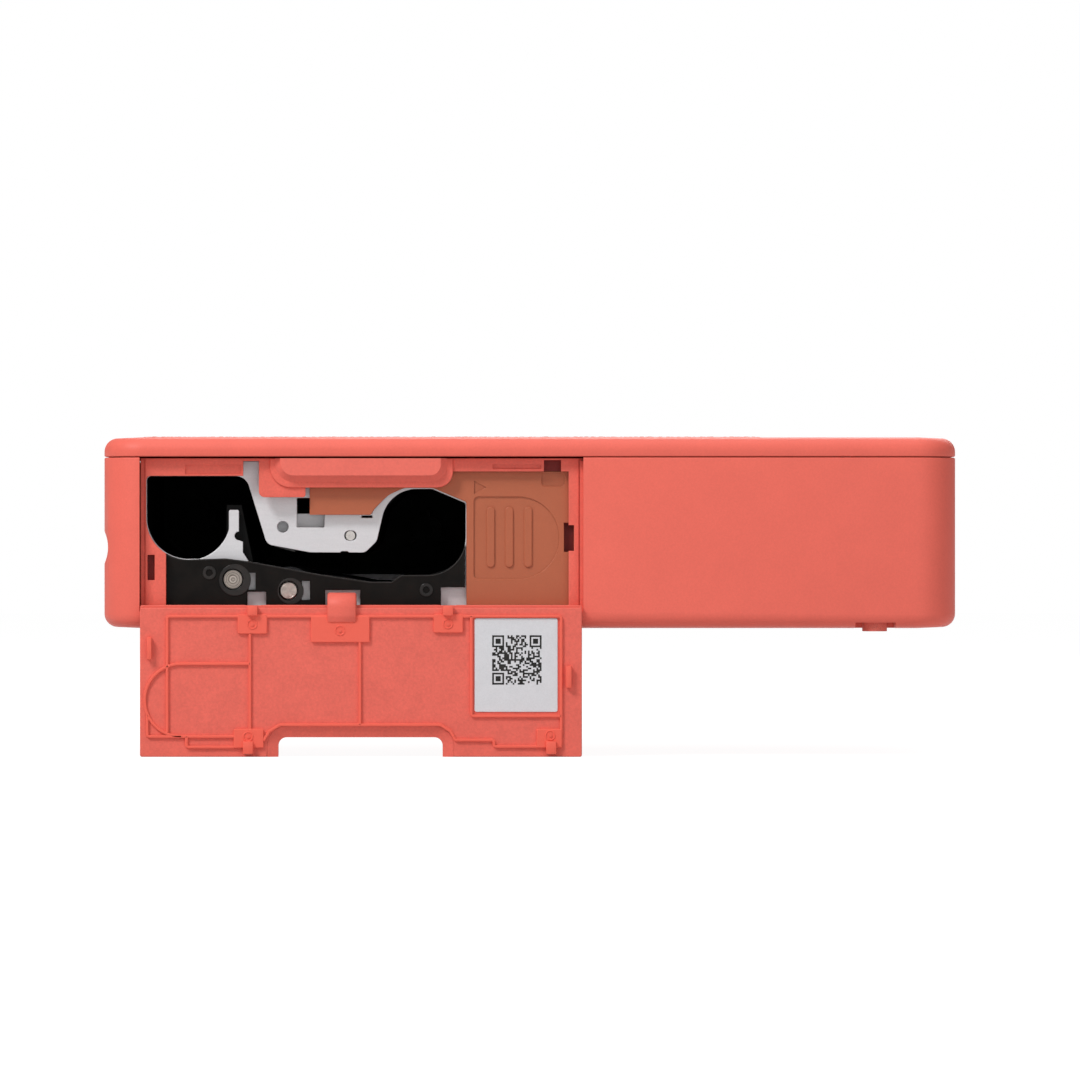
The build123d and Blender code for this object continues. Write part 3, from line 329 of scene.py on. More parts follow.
# liner and guide are black plastic painted darker, and the white spindles are painted near black: painted
# shade inside the chambers
for name in ("bay_liner", "cassette_guide", "takeup_spindle", "supply_spindle"):
    nodes[name].data.materials.clear()
    nodes[name].data.materials.append(linerBlackAndShadeFinish)


# ---- mesh helpers; sizes go in as millimetres

def meshObject(name, data):
    made = bpy.data.objects.new(name, data)
    scene.collection.objects.link(made)
    return made


def plainMesh(obj):
    # the modifiers' result as a plain mesh in place of the object's own
    bpy.context.view_layer.update()
    graph = bpy.context.evaluated_depsgraph_get()
    data = bpy.data.meshes.new_from_object(obj.evaluated_get(graph), depsgraph=graph)
    made = meshObject(obj.name + ".done", data)
    name = obj.name
    bpy.data.objects.remove(obj)
    made.name = name
    made.data.name = name
    return made


def fromBmesh(name, bm):
    bmesh.ops.recalc_face_normals(bm, faces=bm.faces[:])
    data = bpy.data.meshes.new(name)
    bm.to_mesh(data)
    bm.free()
    return meshObject(name, data)


def skinned(name, rings):
    # closed solid through rings of equal count, with flat ends
    bm = bmesh.new()
    rows = [[bm.verts.new(Vector(spot) * mm) for spot in ring] for ring in rings]
    for a, b in zip(rows, rows[1:]):
        for k in range(len(a)):
            ahead = (k + 1) % len(a)
            bm.faces.new((a[k], a[ahead], b[ahead], b[k]))
    bm.faces.new(rows[0])
    bm.faces.new(rows[-1])
    return fromBmesh(name, bm)


def smoothed(obj, degrees=30):
    for face in obj.data.polygons:
        face.use_smooth = True
    obj.data.set_sharp_from_angle(angle=math.radians(degrees))
    return obj


def bevelled(obj, width):
    made = obj.modifiers.new("edges", "BEVEL")
    made.width = width * mm
    made.segments = 2
    made.limit_method = "ANGLE"
    made.angle_limit = math.radians(32)
    return plainMesh(obj)


def cutBy(obj, cutters):
    for cutter in cutters:
        made = obj.modifiers.new("cut", "BOOLEAN")
        made.operation = "DIFFERENCE"
        made.solver = "EXACT"
        made.object = cutter
    done = plainMesh(obj)
    for cutter in cutters:
        bpy.data.objects.remove(cutter)
    return done


def joined(name, parts):
    bm = bmesh.new()
    materials = []
    for part in parts:
        offset = {}
        for i, material in enumerate(part.data.materials):
            if material not in materials:
                materials.append(material)
            offset[i] = materials.index(material)
        for face in part.data.polygons:
            face.material_index = offset.get(face.material_index, 0)
        bm.from_mesh(part.data)
    data = bpy.data.meshes.new(name)
    bm.to_mesh(data)
    bm.free()
    for material in materials:
        data.materials.append(material)
    for part in parts:
        bpy.data.objects.remove(part)
    return meshObject(name, data)


def dressed(obj, material):
    obj.data.materials.clear()
    obj.data.materials.append(material)
    return obj


def box(name, x0, x1, y0, y1, z0, z1, edge=0.0):
    bm = bmesh.new()
    bmesh.ops.create_cube(bm, size=1.0)
    size = Matrix.Diagonal(((x1 - x0) * mm, (y1 - y0) * mm, (z1 - z0) * mm, 1))
    place = Matrix.Translation(Vector(((x0 + x1) / 2, (y0 + y1) / 2, (z0 + z1) / 2)) * mm)
    bm.transform(place @ size)
    made = fromBmesh(name, bm)
    return bevelled(made, edge) if edge else made


def roundedPath(corners, step=9):
    # (x, z) or (x, z, radius) corners as a closed line with true arcs
    path = []
    count = len(corners)
    for i, corner in enumerate(corners):
        here = Vector(corner[:2])
        radius = corner[2] if len(corner) > 2 else 0
        if not radius:
            path.append(tuple(here))
            continue
        back = (Vector(corners[i - 1][:2]) - here).normalized()
        ahead = (Vector(corners[(i + 1) % count][:2]) - here).normalized()
        half = back.angle(ahead) / 2
        reach = radius / math.tan(half)
        centre = here + (back + ahead).normalized() * (radius / math.sin(half))
        start = here + back * reach - centre
        turn = math.pi - 2 * half
        side = 1 if back.x * ahead.y - back.y * ahead.x < 0 else -1
        steps = max(2, math.ceil(math.degrees(turn) / step))
        for k in range(steps + 1):
            angle = side * turn * k / steps
            x = start.x * math.cos(angle) - start.y * math.sin(angle)
            z = start.x * math.sin(angle) + start.y * math.cos(angle)
            path.append((centre.x + x, centre.y + z))
    return path


def circlePath(x, z, radius, steps=48):
    turns = [2 * math.pi * k / steps for k in range(steps)]
    return [(x + radius * math.cos(t), z + radius * math.sin(t)) for t in turns]


def arcPath(x, z, radius, start, end, steps=24):
    # part of a circle, with its ends in degrees
    turns = [math.radians(start + (end - start) * k / steps) for k in range(steps + 1)]
    return [(x + radius * math.cos(t), z + radius * math.sin(t)) for t in turns]


def rectPath(x0, x1, z0, z1, radius=0.0):
    return roundedPath([(x0, z0, radius), (x1, z0, radius), (x1, z1, radius), (x0, z1, radius)])


def slotPath(x, z, length, width):
    return rectPath(x - length / 2, x + length / 2, z - width / 2, z + width / 2, width / 2 - 0.001)


def plate(name, outer, holes, y0, y1, edge, material):
    # flat plate between two Y planes, with rounded edges round its outline and holes
    data = bpy.data.curves.new(name, "CURVE")
    data.dimensions = "2D"
    data.fill_mode = "BOTH"
    data.bevel_depth = edge * mm
    data.bevel_resolution = 2
    data.offset = -edge * mm
    data.extrude = ((y1 - y0) / 2 - edge) * mm
    for path in [outer] + holes:
        spline = data.splines.new("POLY")
        spline.points.add(len(path) - 1)
        for point, (x, z) in zip(spline.points, path):
            point.co = (x * mm, z * mm, 0, 1)
        spline.use_cyclic_u = True
    made = plainMesh(meshObject(name, data))
    upright = Matrix.Translation((0, (y0 + y1) / 2 * mm, 0)) @ Matrix.Rotation(math.pi / 2, 4, "X")
    made.data.transform(upright)
    return dressed(smoothed(made), material)


def lathe(name, centre, profile, material, steps=64):
    # profile of (radius, y) turned about a Y axis at (x, z)
    rings = [[(x, y, z) for x, z in circlePath(*centre, radius, steps)] for radius, y in profile]
    return dressed(smoothed(skinned(name, rings)), material)


# ---- geometry trees

class Recipe:
    # a geometry tree in the making; its inputs are numbers, a seed and a finish
    def __init__(self, name, labels):
        self.tree = bpy.data.node_groups.new(name, "GeometryNodeTree")
        face = self.tree.interface
        face.new_socket("Geometry", in_out="INPUT", socket_type="NodeSocketGeometry")
        self.ids = {}
        kinds = {"Seed": "NodeSocketInt", "Finish": "NodeSocketMaterial"}
        for label in labels + ["Finish"]:
            kind = kinds.get(label, "NodeSocketFloat")
            self.ids[label] = face.new_socket(label, in_out="INPUT", socket_type=kind).identifier
        face.new_socket("Geometry", in_out="OUTPUT", socket_type="NodeSocketGeometry")
        self.entry = self.tree.nodes.new("NodeGroupInput")

    def given(self, label):
        return self.entry.outputs[label]

    def add(self, kind, settings=None, inputs=None):
        made = self.tree.nodes.new(kind)
        for key, value in (settings or {}).items():
            setattr(made, key, value)
        for key, value in (inputs or {}).items():
            if isinstance(value, bpy.types.NodeSocket):
                self.tree.links.new(value, made.inputs[key])
            else:
                made.inputs[key].default_value = value
        return made

    def close(self, geometry):
        solid = self.add("GeometryNodeRealizeInstances", None, {"Geometry": geometry})
        inputs = {"Geometry": solid.outputs[0], "Material": self.given("Finish")}
        painted = self.add("GeometryNodeSetMaterial", None, inputs)
        leave = self.tree.nodes.new("NodeGroupOutput")
        self.tree.links.new(painted.outputs[0], leave.inputs[0])

    def run(self, name, data, values):
        base = meshObject(name, data)
        made = base.modifiers.new("recipe", "NODES")
        made.node_group = self.tree
        for label, value in values.items():
            made[self.ids[label]] = value
        return plainMesh(base)


def pointMesh(name, points):
    data = bpy.data.meshes.new(name)
    data.from_pydata([tuple(Vector(p) * mm) for p in points], [], [])
    return data


def bossRecipe():
    # ring with a pin at its middle, facing -Y, on each point
    r = Recipe("mouldedBosses", ["Ring", "Wire", "Pin", "Height"])
    ring = r.add("GeometryNodeCurvePrimitiveCircle", None, {"Resolution": 28, "Radius": r.given("Ring")})
    wire = r.add("GeometryNodeCurvePrimitiveCircle", None, {"Resolution": 8, "Radius": r.given("Wire")})
    hoop = r.add("GeometryNodeCurveToMesh", None, {0: ring.outputs[0], 1: wire.outputs[0]})
    pin = r.add("GeometryNodeMeshCylinder", None,
                {"Vertices": 20, "Radius": r.given("Pin"), "Depth": r.given("Height")})
    both = r.add("GeometryNodeJoinGeometry")
    r.tree.links.new(hoop.outputs[0], both.inputs[0])
    r.tree.links.new(pin.outputs["Mesh"], both.inputs[0])
    turned = r.add("GeometryNodeTransform", None,
                   {"Geometry": both.outputs[0], "Rotation": (math.pi / 2, 0, 0)})
    spots = r.add("GeometryNodeInstanceOnPoints", None,
                  {"Points": r.given("Geometry"), "Instance": turned.outputs[0]})
    r.close(spots.outputs[0])
    return r


def codeRecipe():
    # squares of a generic code field: each point keeps or drops its square by a seeded draw
    r = Recipe("codeSquares", ["Cell", "Share", "Seed"])
    draw = r.add("FunctionNodeRandomValue", {"data_type": "BOOLEAN"},
                 {"Probability": r.given("Share"), "Seed": r.given("Seed")})
    size = r.add("ShaderNodeCombineXYZ", None, {"X": r.given("Cell"), "Y": 0.00003, "Z": r.given("Cell")})
    cell = r.add("GeometryNodeMeshCube", None, {"Size": size.outputs[0]})
    spots = r.add("GeometryNodeInstanceOnPoints", None,
                  {"Points": r.given("Geometry"), "Selection": draw.outputs[3],
                   "Instance": cell.outputs["Mesh"]})
    r.close(spots.outputs[0])
    return r


def pebbleRecipe():
    # shallow pebbles strewn over a face, each with its own size and turn
    r = Recipe("pebbledTop", ["Gap", "Radius", "Height", "Seed"])
    strewn = r.add("GeometryNodeDistributePointsOnFaces", {"distribute_method": "POISSON"},
                   {"Mesh": r.given("Geometry"), "Distance Min": r.given("Gap"),
                    "Density Max": 1600000.0, "Seed": r.given("Seed")})
    grow = r.add("FunctionNodeRandomValue", {"data_type": "FLOAT"}, {2: 0.6, 3: 1.0})
    spin = r.add("FunctionNodeRandomValue", {"data_type": "FLOAT"}, {2: 0.0, 3: 6.283})
    turn = r.add("ShaderNodeCombineXYZ", None, {"Z": spin.outputs[1]})
    cap = r.add("GeometryNodeMeshCone", None,
                {"Vertices": 7, "Radius Top": 0.0003, "Radius Bottom": r.given("Radius"),
                 "Depth": r.given("Height")})
    spots = r.add("GeometryNodeInstanceOnPoints", None,
                  {"Points": strewn.outputs["Points"], "Instance": cap.outputs["Mesh"],
                   "Rotation": turn.outputs[0], "Scale": grow.outputs[1]})
    r.close(spots.outputs[0])
    return r


def ribRecipe():
    # moulded rib along drawn edges, with rounded corners in plan and section
    r = Recipe("mouldedRibs", ["Width", "Corner", "Round"])
    line = r.add("GeometryNodeMeshToCurve", None, {"Mesh": r.given("Geometry")})
    bent = r.add("GeometryNodeFilletCurve", {"mode": "POLY"},
                 {"Curve": line.outputs[0], "Radius": r.given("Corner"), "Count": 4})
    square = r.add("GeometryNodeCurvePrimitiveQuadrilateral", {"mode": "RECTANGLE"},
                   {"Width": r.given("Width"), "Height": r.given("Width")})
    section = r.add("GeometryNodeFilletCurve", {"mode": "POLY"},
                    {"Curve": square.outputs[0], "Radius": r.given("Round"), "Count": 2})
    facing = r.add("GeometryNodeSetCurveNormal", {"mode": "FREE"},
                   {"Curve": bent.outputs[0], "Normal": (0, -1, 0)})
    swept = r.add("GeometryNodeCurveToMesh", None,
                  {0: facing.outputs[0], 1: section.outputs[0], "Fill Caps": True})
    r.close(swept.outputs[0])
    return r


bosses = bossRecipe()
codeField = codeRecipe()
pebbles = pebbleRecipe()
ribs = ribRecipe()
print("geometry trees made")


# ---- case shells: lofted rings with a crowned, rounded edge

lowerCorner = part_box("bottom_case")[1]
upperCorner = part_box("top_cover")[1]
shell = {
    "halfX": lowerCorner.x / mm, "halfY": lowerCorner.y / mm, "planRadius": 7.0, "wall": 1.8,
    "seam": 29.2, "gap": 0.16, "top": upperCorner.z / mm, "edge": 2.3, "crown": 0.3, "crownRun": 6.4,
    "rim": 0.14, "steps": 14, "ceiling": 30.8,
    "doorWay": (-66.6, 9.15, 2.95),  # left, right, low
    "groove": {"z": 13.85, "half": 2.85, "depth": 0.74},
    "paperSlot": (-45.5, 28.0, 12.75, 14.95),  # near, far, low, high
    "trayWay": (-44.0, 28.0, 3.95, 19.5),
    "socketWay": (45.3, 54.7, 23.2, 26.8),  # left, right, low, high
    "foot": {"x": 59.05, "half": 3.425, "from": 40.2, "to": 55.0, "deep": 1.0},
    "panelWay": (-66.3, 39.6, 44.4, 0.8),  # left, right, half width, depth
    "button": (55, -30, 3.75), "lens": (55, -20, 0.9),  # x, y, radius
}


def edgeProfile():
    # (inset, height) from the wall down round the edge to the flat
    slope = math.atan(shell["crown"] / shell["crownRun"])
    sweep = math.pi / 2 - slope
    centre = shell["crown"] + shell["edge"] * math.tan(sweep / 2)
    profile = []
    for k in range(shell["steps"] + 1):
        angle = sweep * k / shell["steps"]
        profile.append((shell["edge"] * (1 - math.cos(angle)), centre - shell["edge"] * math.sin(angle)))
    profile.append((shell["crownRun"], 0.0))
    return profile


def shellRing(inset, z):
    radius = max(0.4, shell["planRadius"] - inset)
    x, y = shell["halfX"] - inset, shell["halfY"] - inset
    return [(px, py, z) for px, py in rectPath(-x, x, -y, y, radius)]


def lofted(name, rows):
    return skinned(name, [shellRing(*row) for row in rows])


def lowerShell():
    s = shell
    halfX, halfY, wall, seam = s["halfX"], s["halfY"], s["wall"], s["seam"]
    rows = edgeProfile()[::-1] + [(0.0, seam - s["rim"]), (s["rim"], seam)]
    body = lofted("caseLower", rows)
    left, right, low = s["doorWay"]
    cut = s["groove"]
    grooveRadius = (cut["half"] ** 2 + cut["depth"] ** 2) / (2 * cut["depth"])
    grooveAxis = (-halfX + cut["depth"] - grooveRadius, cut["z"])
    cutters = [
        lofted("cavity", [(wall, wall), (wall, seam + 2)]),
        box("doorWay", left, right, -halfY - 1, -halfY + wall + 0.5, low, seam + 3),
        lathe("groove", grooveAxis, [(grooveRadius, -60), (grooveRadius, 60)], innerFinish, 96),
        box("paperWay", -halfX - 1, -halfX + wall + 1, *s["paperSlot"]),
        box("trayWay", halfX - wall - 1, halfX + 1, *s["trayWay"]),
        box("socketWay", *s["socketWay"][:2], halfY - 3, halfY + 1, *s["socketWay"][2:])]
    foot = s["foot"]
    for sx in (-1, 1):
        for sy in (-1, 1):
            y0, y1 = sorted((sy * foot["to"], sy * foot["from"]))
            x = sx * foot["x"]
            cutters.append(box("footWay", x - foot["half"], x + foot["half"], y0, y1, -1, foot["deep"]))
    return dressed(smoothed(bevelled(cutBy(body, cutters), s["rim"])), finishes["case_coral"])


def upperShell():
    s = shell
    top, wall, start = s["top"], s["wall"], s["seam"] + s["gap"]
    rows = [(s["rim"], start), (0.0, start + s["rim"])]
    rows += [(inset, top - z) for inset, z in edgeProfile()]
    body = lofted("caseUpper", rows)
    left, right, half, deep = s["panelWay"]
    cutters = [lofted("cavity", [(wall, s["seam"] - 1), (wall, s["ceiling"])]),
               box("panelWay", left, right, -half, half, top - deep, top + 2)]
    for x, y, radius in (s["button"], s["lens"]):
        hole = lathe("controlWay", (0, 0), [(radius, -5), (radius, 5)], innerFinish)
        upright = Matrix.Rotation(math.pi / 2, 4, "X")
        hole.data.transform(Matrix.Translation((x * mm, y * mm, 31 * mm)) @ upright)
        cutters.append(hole)
    return dressed(smoothed(bevelled(cutBy(body, cutters), s["rim"])), finishes["case_coral"])


caseLower = lowerShell()
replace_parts(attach(caseLower, "housing"), "bottom_case")
caseUpper = upperShell()
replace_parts(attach(caseUpper, "housing"), "top_cover")

panel = {"low": -66.22, "high": 39.52, "half": 44.32, "floor": 31.9, "top": 32.76, "edge": 0.1,
         "inset": 0.7, "gap": 1.15, "pebbleRadius": 0.62, "pebbleHeight": 0.12, "seed": 3}


def topPanel():
    p = panel
    base = box("topPanel", p["low"], p["high"], -p["half"], p["half"], p["floor"], p["top"], p["edge"])
    dressed(base, finishes["panel_coral"])
    x0, x1, y = p["low"] + p["inset"], p["high"] - p["inset"], p["half"] - p["inset"]
    corners = [(x0, -y), (x1, -y), (x1, y), (x0, y)]
    z = (p["top"] + 0.03) * mm
    field = bpy.data.meshes.new("panelField")
    field.from_pydata([(x * mm, y * mm, z) for x, y in corners], [], [(0, 1, 2, 3)])
    relief = pebbles.run("panelPebbles", field, {
        "Gap": p["gap"] * mm, "Radius": p["pebbleRadius"] * mm, "Height": p["pebbleHeight"] * mm,
        "Seed": p["seed"], "Finish": finishes["panel_coral"]})
    high = max(v.co.z for v in relief.data.vertices)
    relief.data.transform(Matrix.Translation((0, 0, cadHigh.z - 0.00001 - high)))
    return joined("topPanel", [base, relief])


top = topPanel()
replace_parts(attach(top, "housing"), "texture_panel")
print("case shells made")


# ---- bay bezel and finger tab

bezel = {
    "front": -49.15, "step": -48.8, "back": -47.95, "edge": 0.12, "bandFront": -49.6,
    "plateFront": -51.0, "left": -66.5, "right": 9.05, "low": 3.1, "high": 29.1,
    "tabSlot": (-65.32, -64.1, 8.25, 12.55),  # left, right, low, high
    "pockets": ((-58.87, -49.28, 26.35, 27.9), (-6.3, 1.92, 27.28, 27.96)),
    "lips": ((8.55, 10.75, -49.3, -47.95, 1.8, 28.6), (-54.0, 8.65, -49.3, -47.95, 1.8, 3.1)),
    "hookWays": ((-48.65, -45.85, -49.5, -47.5, 2.9, 5.0), (-15.32, -12.52, -49.5, -47.5, 2.9, 5.0)),
    "slotBacks": ((-65.5, -63.6, -47.93, -47.8, 7.9, 12.7), (2.2, 5.6, -47.93, -47.8, 26.85, 28.95),
                  (5.0, 8.4, -46.5, -46.24, 12.8, 18.3)),
    "band": ((-44.4, 29.05), (-44.4, 24.05, 3.5), (-13.1, 24.05, 2.7), (-13.1, 29.05)),
    "tab": (-42.65, -15.05, 25.97, 29.05, 2.3, 2.0),  # left, right, low, high, then its two corners
}
leftSpool = (-58.45, 18.85, 7.1)
rightSpool = (-17.48, 15.62, 6.5)
feedAxis = (-50.76, 8.37)
platenAxis = (-41.24, 6.45)
ribbonGround = [(-52.0, 11.95, 3.0), (-48.1, 11.45, 4.0), (-35.9, 9.2, 3.0), (-27.3, 7.94, 0.4),
                (-23.6, 7.94, 0.4), (-22.0, 9.1, 0.6)]


def bezelWindow():
    return roundedPath([
        (-65.55, 26.05, 0.8), (-48.97, 26.05), (-48.97, 28.6), (-46.28, 28.6),
        (-46.28, 22.4, 1.0), (-38.32, 22.4, 0.5), (-38.32, 24.05), (-16.0, 24.05, 2.2),
        (-13.2, 26.81, 0.4), (2.43, 26.81), (2.43, 28.75), (5.34, 28.75), (5.34, 26.81), (6.63, 26.81),
        (6.63, 17.62), (7.57, 17.62), (7.57, 13.25), (6.63, 13.25), (6.63, 4.0), (-62.15, 4.0)]
        + arcPath(*leftSpool, 238.6, 180))


def bayBezel():
    b = bezel
    holes = [bezelWindow(), rectPath(*b["tabSlot"])]
    base = plate("bezelBase", rectPath(b["left"], b["right"], b["low"], b["high"]), holes,
                 b["step"] - 0.02, b["back"], 0.05, innerFinish)
    outline = rectPath(b["left"] + 0.75, b["right"] - 0.65, b["low"] + 0.02, b["high"] - 0.02)
    pockets = [rectPath(*pocket) for pocket in b["pockets"]]
    face = plate("bezelFace", outline, holes + pockets, b["front"], b["step"], b["edge"], innerFinish)
    # gaps in the sill for the two hooks at the door's hinge edge
    base = cutBy(base, [box("hookWay", *spot) for spot in b["hookWays"]])
    face = cutBy(face, [box("hookWay", *spot) for spot in b["hookWays"]])
    band = plate("tabBand", roundedPath(b["band"]), [], b["bandFront"], b["front"] + 0.1, 0.2, innerFinish)
    plateUp = tabPlate()
    lips = [dressed(box("bezelLip", *spot), innerFinish) for spot in b["lips"]]
    # walls seen through the slots, in coral painted dark as the shade inside them
    backs = [dressed(box("slotBack", *spot), slotShadeFinish) for spot in b["slotBacks"]]
    return joined("bayBezel", [base, face, band, plateUp] + lips + backs)


def tabPlate():
    # raised plate that fills the notch of the closed door, flared out to the band under it
    b = bezel
    left, right, low, high, leftRound, rightRound = b["tab"]
    rings = []
    for grow, y in ((0.16, b["plateFront"]), (0.0, b["plateFront"] + 0.16), (0.0, -50.45),
                    (-0.95, b["bandFront"]), (-0.95, b["bandFront"] + 0.1)):
        line = roundedPath([(left + grow, high), (left + grow, low + grow, leftRound - grow),
                            (right - grow, low + grow, rightRound - grow), (right - grow, high)], 6)
        rings.append([(x, y, z) for x, z in line])
    return dressed(smoothed(skinned("tabPlate", rings), 20), tabFinish)


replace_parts(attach(bayBezel(), "housing"), "bay_bezel")
print("bezel made")


# ---- metal side frame and black roller cover

def bayVoid():
    return roundedPath([
        (-65.55, 11.75, 7.09), (-65.55, 26.05, 0.8), (-48.6, 26.05, 2.4), (-45.0, 14.35, 1.6),
        (-37.6, 12.98, 3.0), (-32.5, 12.95), (-32.2, 13.18), (-31.2, 13.18), (-30.9, 12.95),
        (-28.2, 12.94, 1.5), (-26.2, 14.9, 1.8), (-24.15, 23.85, 6.0), (-16.7, 23.85, 1.5),
        (-10.98, 21.4, 0.6), (-10.98, 9.12, 6.49)] + ribbonGround[::-1], 5)


sideFrame = {
    "front": -46.2, "back": -45.2, "edge": 0.1, "sheet": (-66.3, 9.0, 2.45, 28.6, 0.8),
    "window": (-39.86, -35.15, 17.26, 22.31, 0.2), "pinHole": (-42.26, 17.35, 0.98),
    "slot": (-30.7, 15.85, 2.1, 1.71), "slit": (-28.82, -26.95, 18.9, 19.3),
    "finNotch": (-49.79, 15.8, 0.75), "arm": (8.5, 15.2, 19.5, 25.5),
    "tab": (14.5, 15.2, -47.75, -46.1, 20.5, 24.0, 0.08),
}


def sideFrameNear():
    s = sideFrame
    front, back, edge, steel = s["front"], s["back"], s["edge"], finishes["frame_steel"]
    holes = [bayVoid(), rectPath(*s["window"]), circlePath(*s["pinHole"]), slotPath(*s["slot"]),
             rectPath(*s["slit"])]
    sheet = plate("frameSheet", rectPath(*s["sheet"]), holes, front, back, edge, steel)
    x, z, radius = leftSpool
    outline = roundedPath(
        [(-56.4, 11.0)] + arcPath(x, z, radius + 0.1, -73.5, -15.5)
        + [(-51.51, 20.26, 0.3), (-49.79, 20.26, 0.3)] + arcPath(*s["finNotch"], 90, 270, 12)
        + [(-49.11, 14.8), (-49.11, 13.0), (-48.2, 11.6), (-48.2, 11.0)])
    fin = plate("frameFin", outline, [], front, back, edge, steel)
    arm = plate("frameArm", rectPath(*s["arm"]), [], front, back, 0.05, steel)
    bent = dressed(box("frameTab", *s["tab"]), steel)
    return joined("sideFrame", [sheet, fin, arm, bent])


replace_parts(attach(sideFrameNear(), "housing"), "side_frame_near")

cover = {
    "front": -47.75, "back": -46.22, "edge": 0.1, "lineWidth": 0.22,
    "shafts": ((feedAxis, 1.8, 2.72), (platenAxis, 1.68, 2.25)),  # centre, bore, rim
    "windows": ((-48.1, -46.9, 6.6, 9.5), (-39.0, -37.6, 4.85, 8.1)),
    "bosses": ((-54.8, 9.5), (-17.7, 6.56)), "bossRim": 1.13, "bossBore": 0.6,
}


def rollerCover():
    c = cover
    front = c["front"]
    ground = arcPath(*leftSpool, 238.6, 270, 8) + ribbonGround + arcPath(*rightSpool, 270, 349)
    outline = roundedPath([(-62.15, 3.0)] + ground + [
        (-11.1, 7.0), (-15.2, 7.0), (-15.2, 3.0), (-29.0, 3.0), (-29.0, 6.55), (-35.0, 6.55), (-35.0, 3.0),
        (-45.1, 3.0), (-45.1, 6.25), (-48.3, 6.25), (-48.3, 3.0)], 5)
    holes = [rectPath(*window) for window in c["windows"]]
    holes += [circlePath(*centre, bore) for centre, bore, rim in c["shafts"]]
    parts = [plate("rollerCover", outline, holes, front, c["back"], c["edge"], finishes["guide_black"])]
    # bore rims, offset down and right, and boss rims are in the lighter black: painted highlight
    for (x, z), bore, rim in c["shafts"]:
        parts.append(plate("coverRing", circlePath(x + 0.35, z - 0.1, rim), [circlePath(x, z, bore)],
                           front - 0.15, front + 0.1, 0.06, blackHighlightFinish))
    for x, z in c["bosses"]:
        parts.append(plate("coverBoss", circlePath(x, z, c["bossRim"]), [circlePath(x, z, c["bossBore"])],
                           front - 0.2, front + 0.1, 0.06, blackHighlightFinish))
    # the running edge under the ribbon is a thin brown-grey strip in the lighter black, a painted highlight
    wide = c["lineWidth"]
    lower = [(x, z - wide, *rest) for x, z, *rest in ribbonGround[::-1]]
    x0, z0, radius0 = leftSpool
    x1, z1, radius1 = rightSpool
    line = roundedPath(arcPath(x0, z0, radius0, 240, 270, 8) + ribbonGround
                       + arcPath(x1, z1, radius1, 270, 346) + arcPath(x1, z1, radius1 + wide, 346, 270)
                       + lower + arcPath(x0, z0, radius0 + wide, 270, 240, 8), 5)
    parts.append(plate("runningEdge", line, [], front - 0.08, front + 0.1, 0.03, blackHighlightFinish))
    return joined("rollerCover", parts)


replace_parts(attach(rollerCover(), "housing"), "roller_side_cover")
print("side frame and roller cover made")


# ---- rollers whose ends show

feedFinish = turnedMetal("turnedFeed", {"centre": feedAxis, "colour": (0.42, 0.37, 0.33),
                                        "pitch": 0.42, "ringShare": 0.8})
platenFinish = turnedMetal("turnedPlaten", {"centre": platenAxis, "colour": (0.5, 0.43, 0.39),
                                            "pitch": 0.18, "ringShare": 0.15})
rollers = {"near": -47.7, "drum": (-42.6, 24.6), "feedFar": 38.4, "platenFar": 30.6}


def feedRoller():
    # the grooved near end, then the shaft, the drum and the far shaft
    near, far = rollers["near"], rollers["feedFar"]
    y0, y1 = rollers["drum"]
    grooves = [(0.02, 0.35), (0.2, 0.35), (0.26, 0.1), (0.66, 0.06), (0.74, 0.2), (0.9, 0.24), (0.96, 0.06),
               (1.12, 0.04), (1.18, 0.24), (1.36, 0.26), (1.44, 0.02), (1.56, 0.0), (1.66, 0.1)]
    profile = [(radius, near + depth) for radius, depth in grooves]
    profile += [(1.66, y0), (3.0, y0), (3.1, y0 + 0.1), (3.1, y1 - 0.1), (3.0, y1), (1.5, y1),
                (1.5, far), (0.02, far)]
    return lathe("feedRoller", feedAxis, profile, feedFinish)


def platenRoller():
    near, far = rollers["near"], rollers["platenFar"]
    profile = [(0.02, near + 0.02), (1.36, near), (1.54, near + 0.18), (1.54, far), (0.02, far)]
    return lathe("platenShaft", platenAxis, profile, platenFinish)


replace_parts(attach(feedRoller(), "feed_roller"), "feed_roller")
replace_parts(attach(platenRoller(), "platen_roller"), "platen_shaft")
print("roller ends made")


# ---- eject slider

slider = {
    "front": -47.75, "floor": -47.45, "back": -46.55, "edge": 0.12, "thumb": (-2.02, 15.46, 7.03),
    "slots": ((5.86, 7.53, 13.06, 18.03), (1.6, 6.0, 26.9, 28.85)), "pocket": (2.05, 5.9, 24.3, 26.6, 0.6),
    "arrow": [(-9.5, 25.2), (-9.5, 23.0), (-7.5, 24.1)],
    "ribs": (-6.7, -3.51, -0.28), "ribHalf": 0.7, "ribSpan": (10.4, 20.8),
}


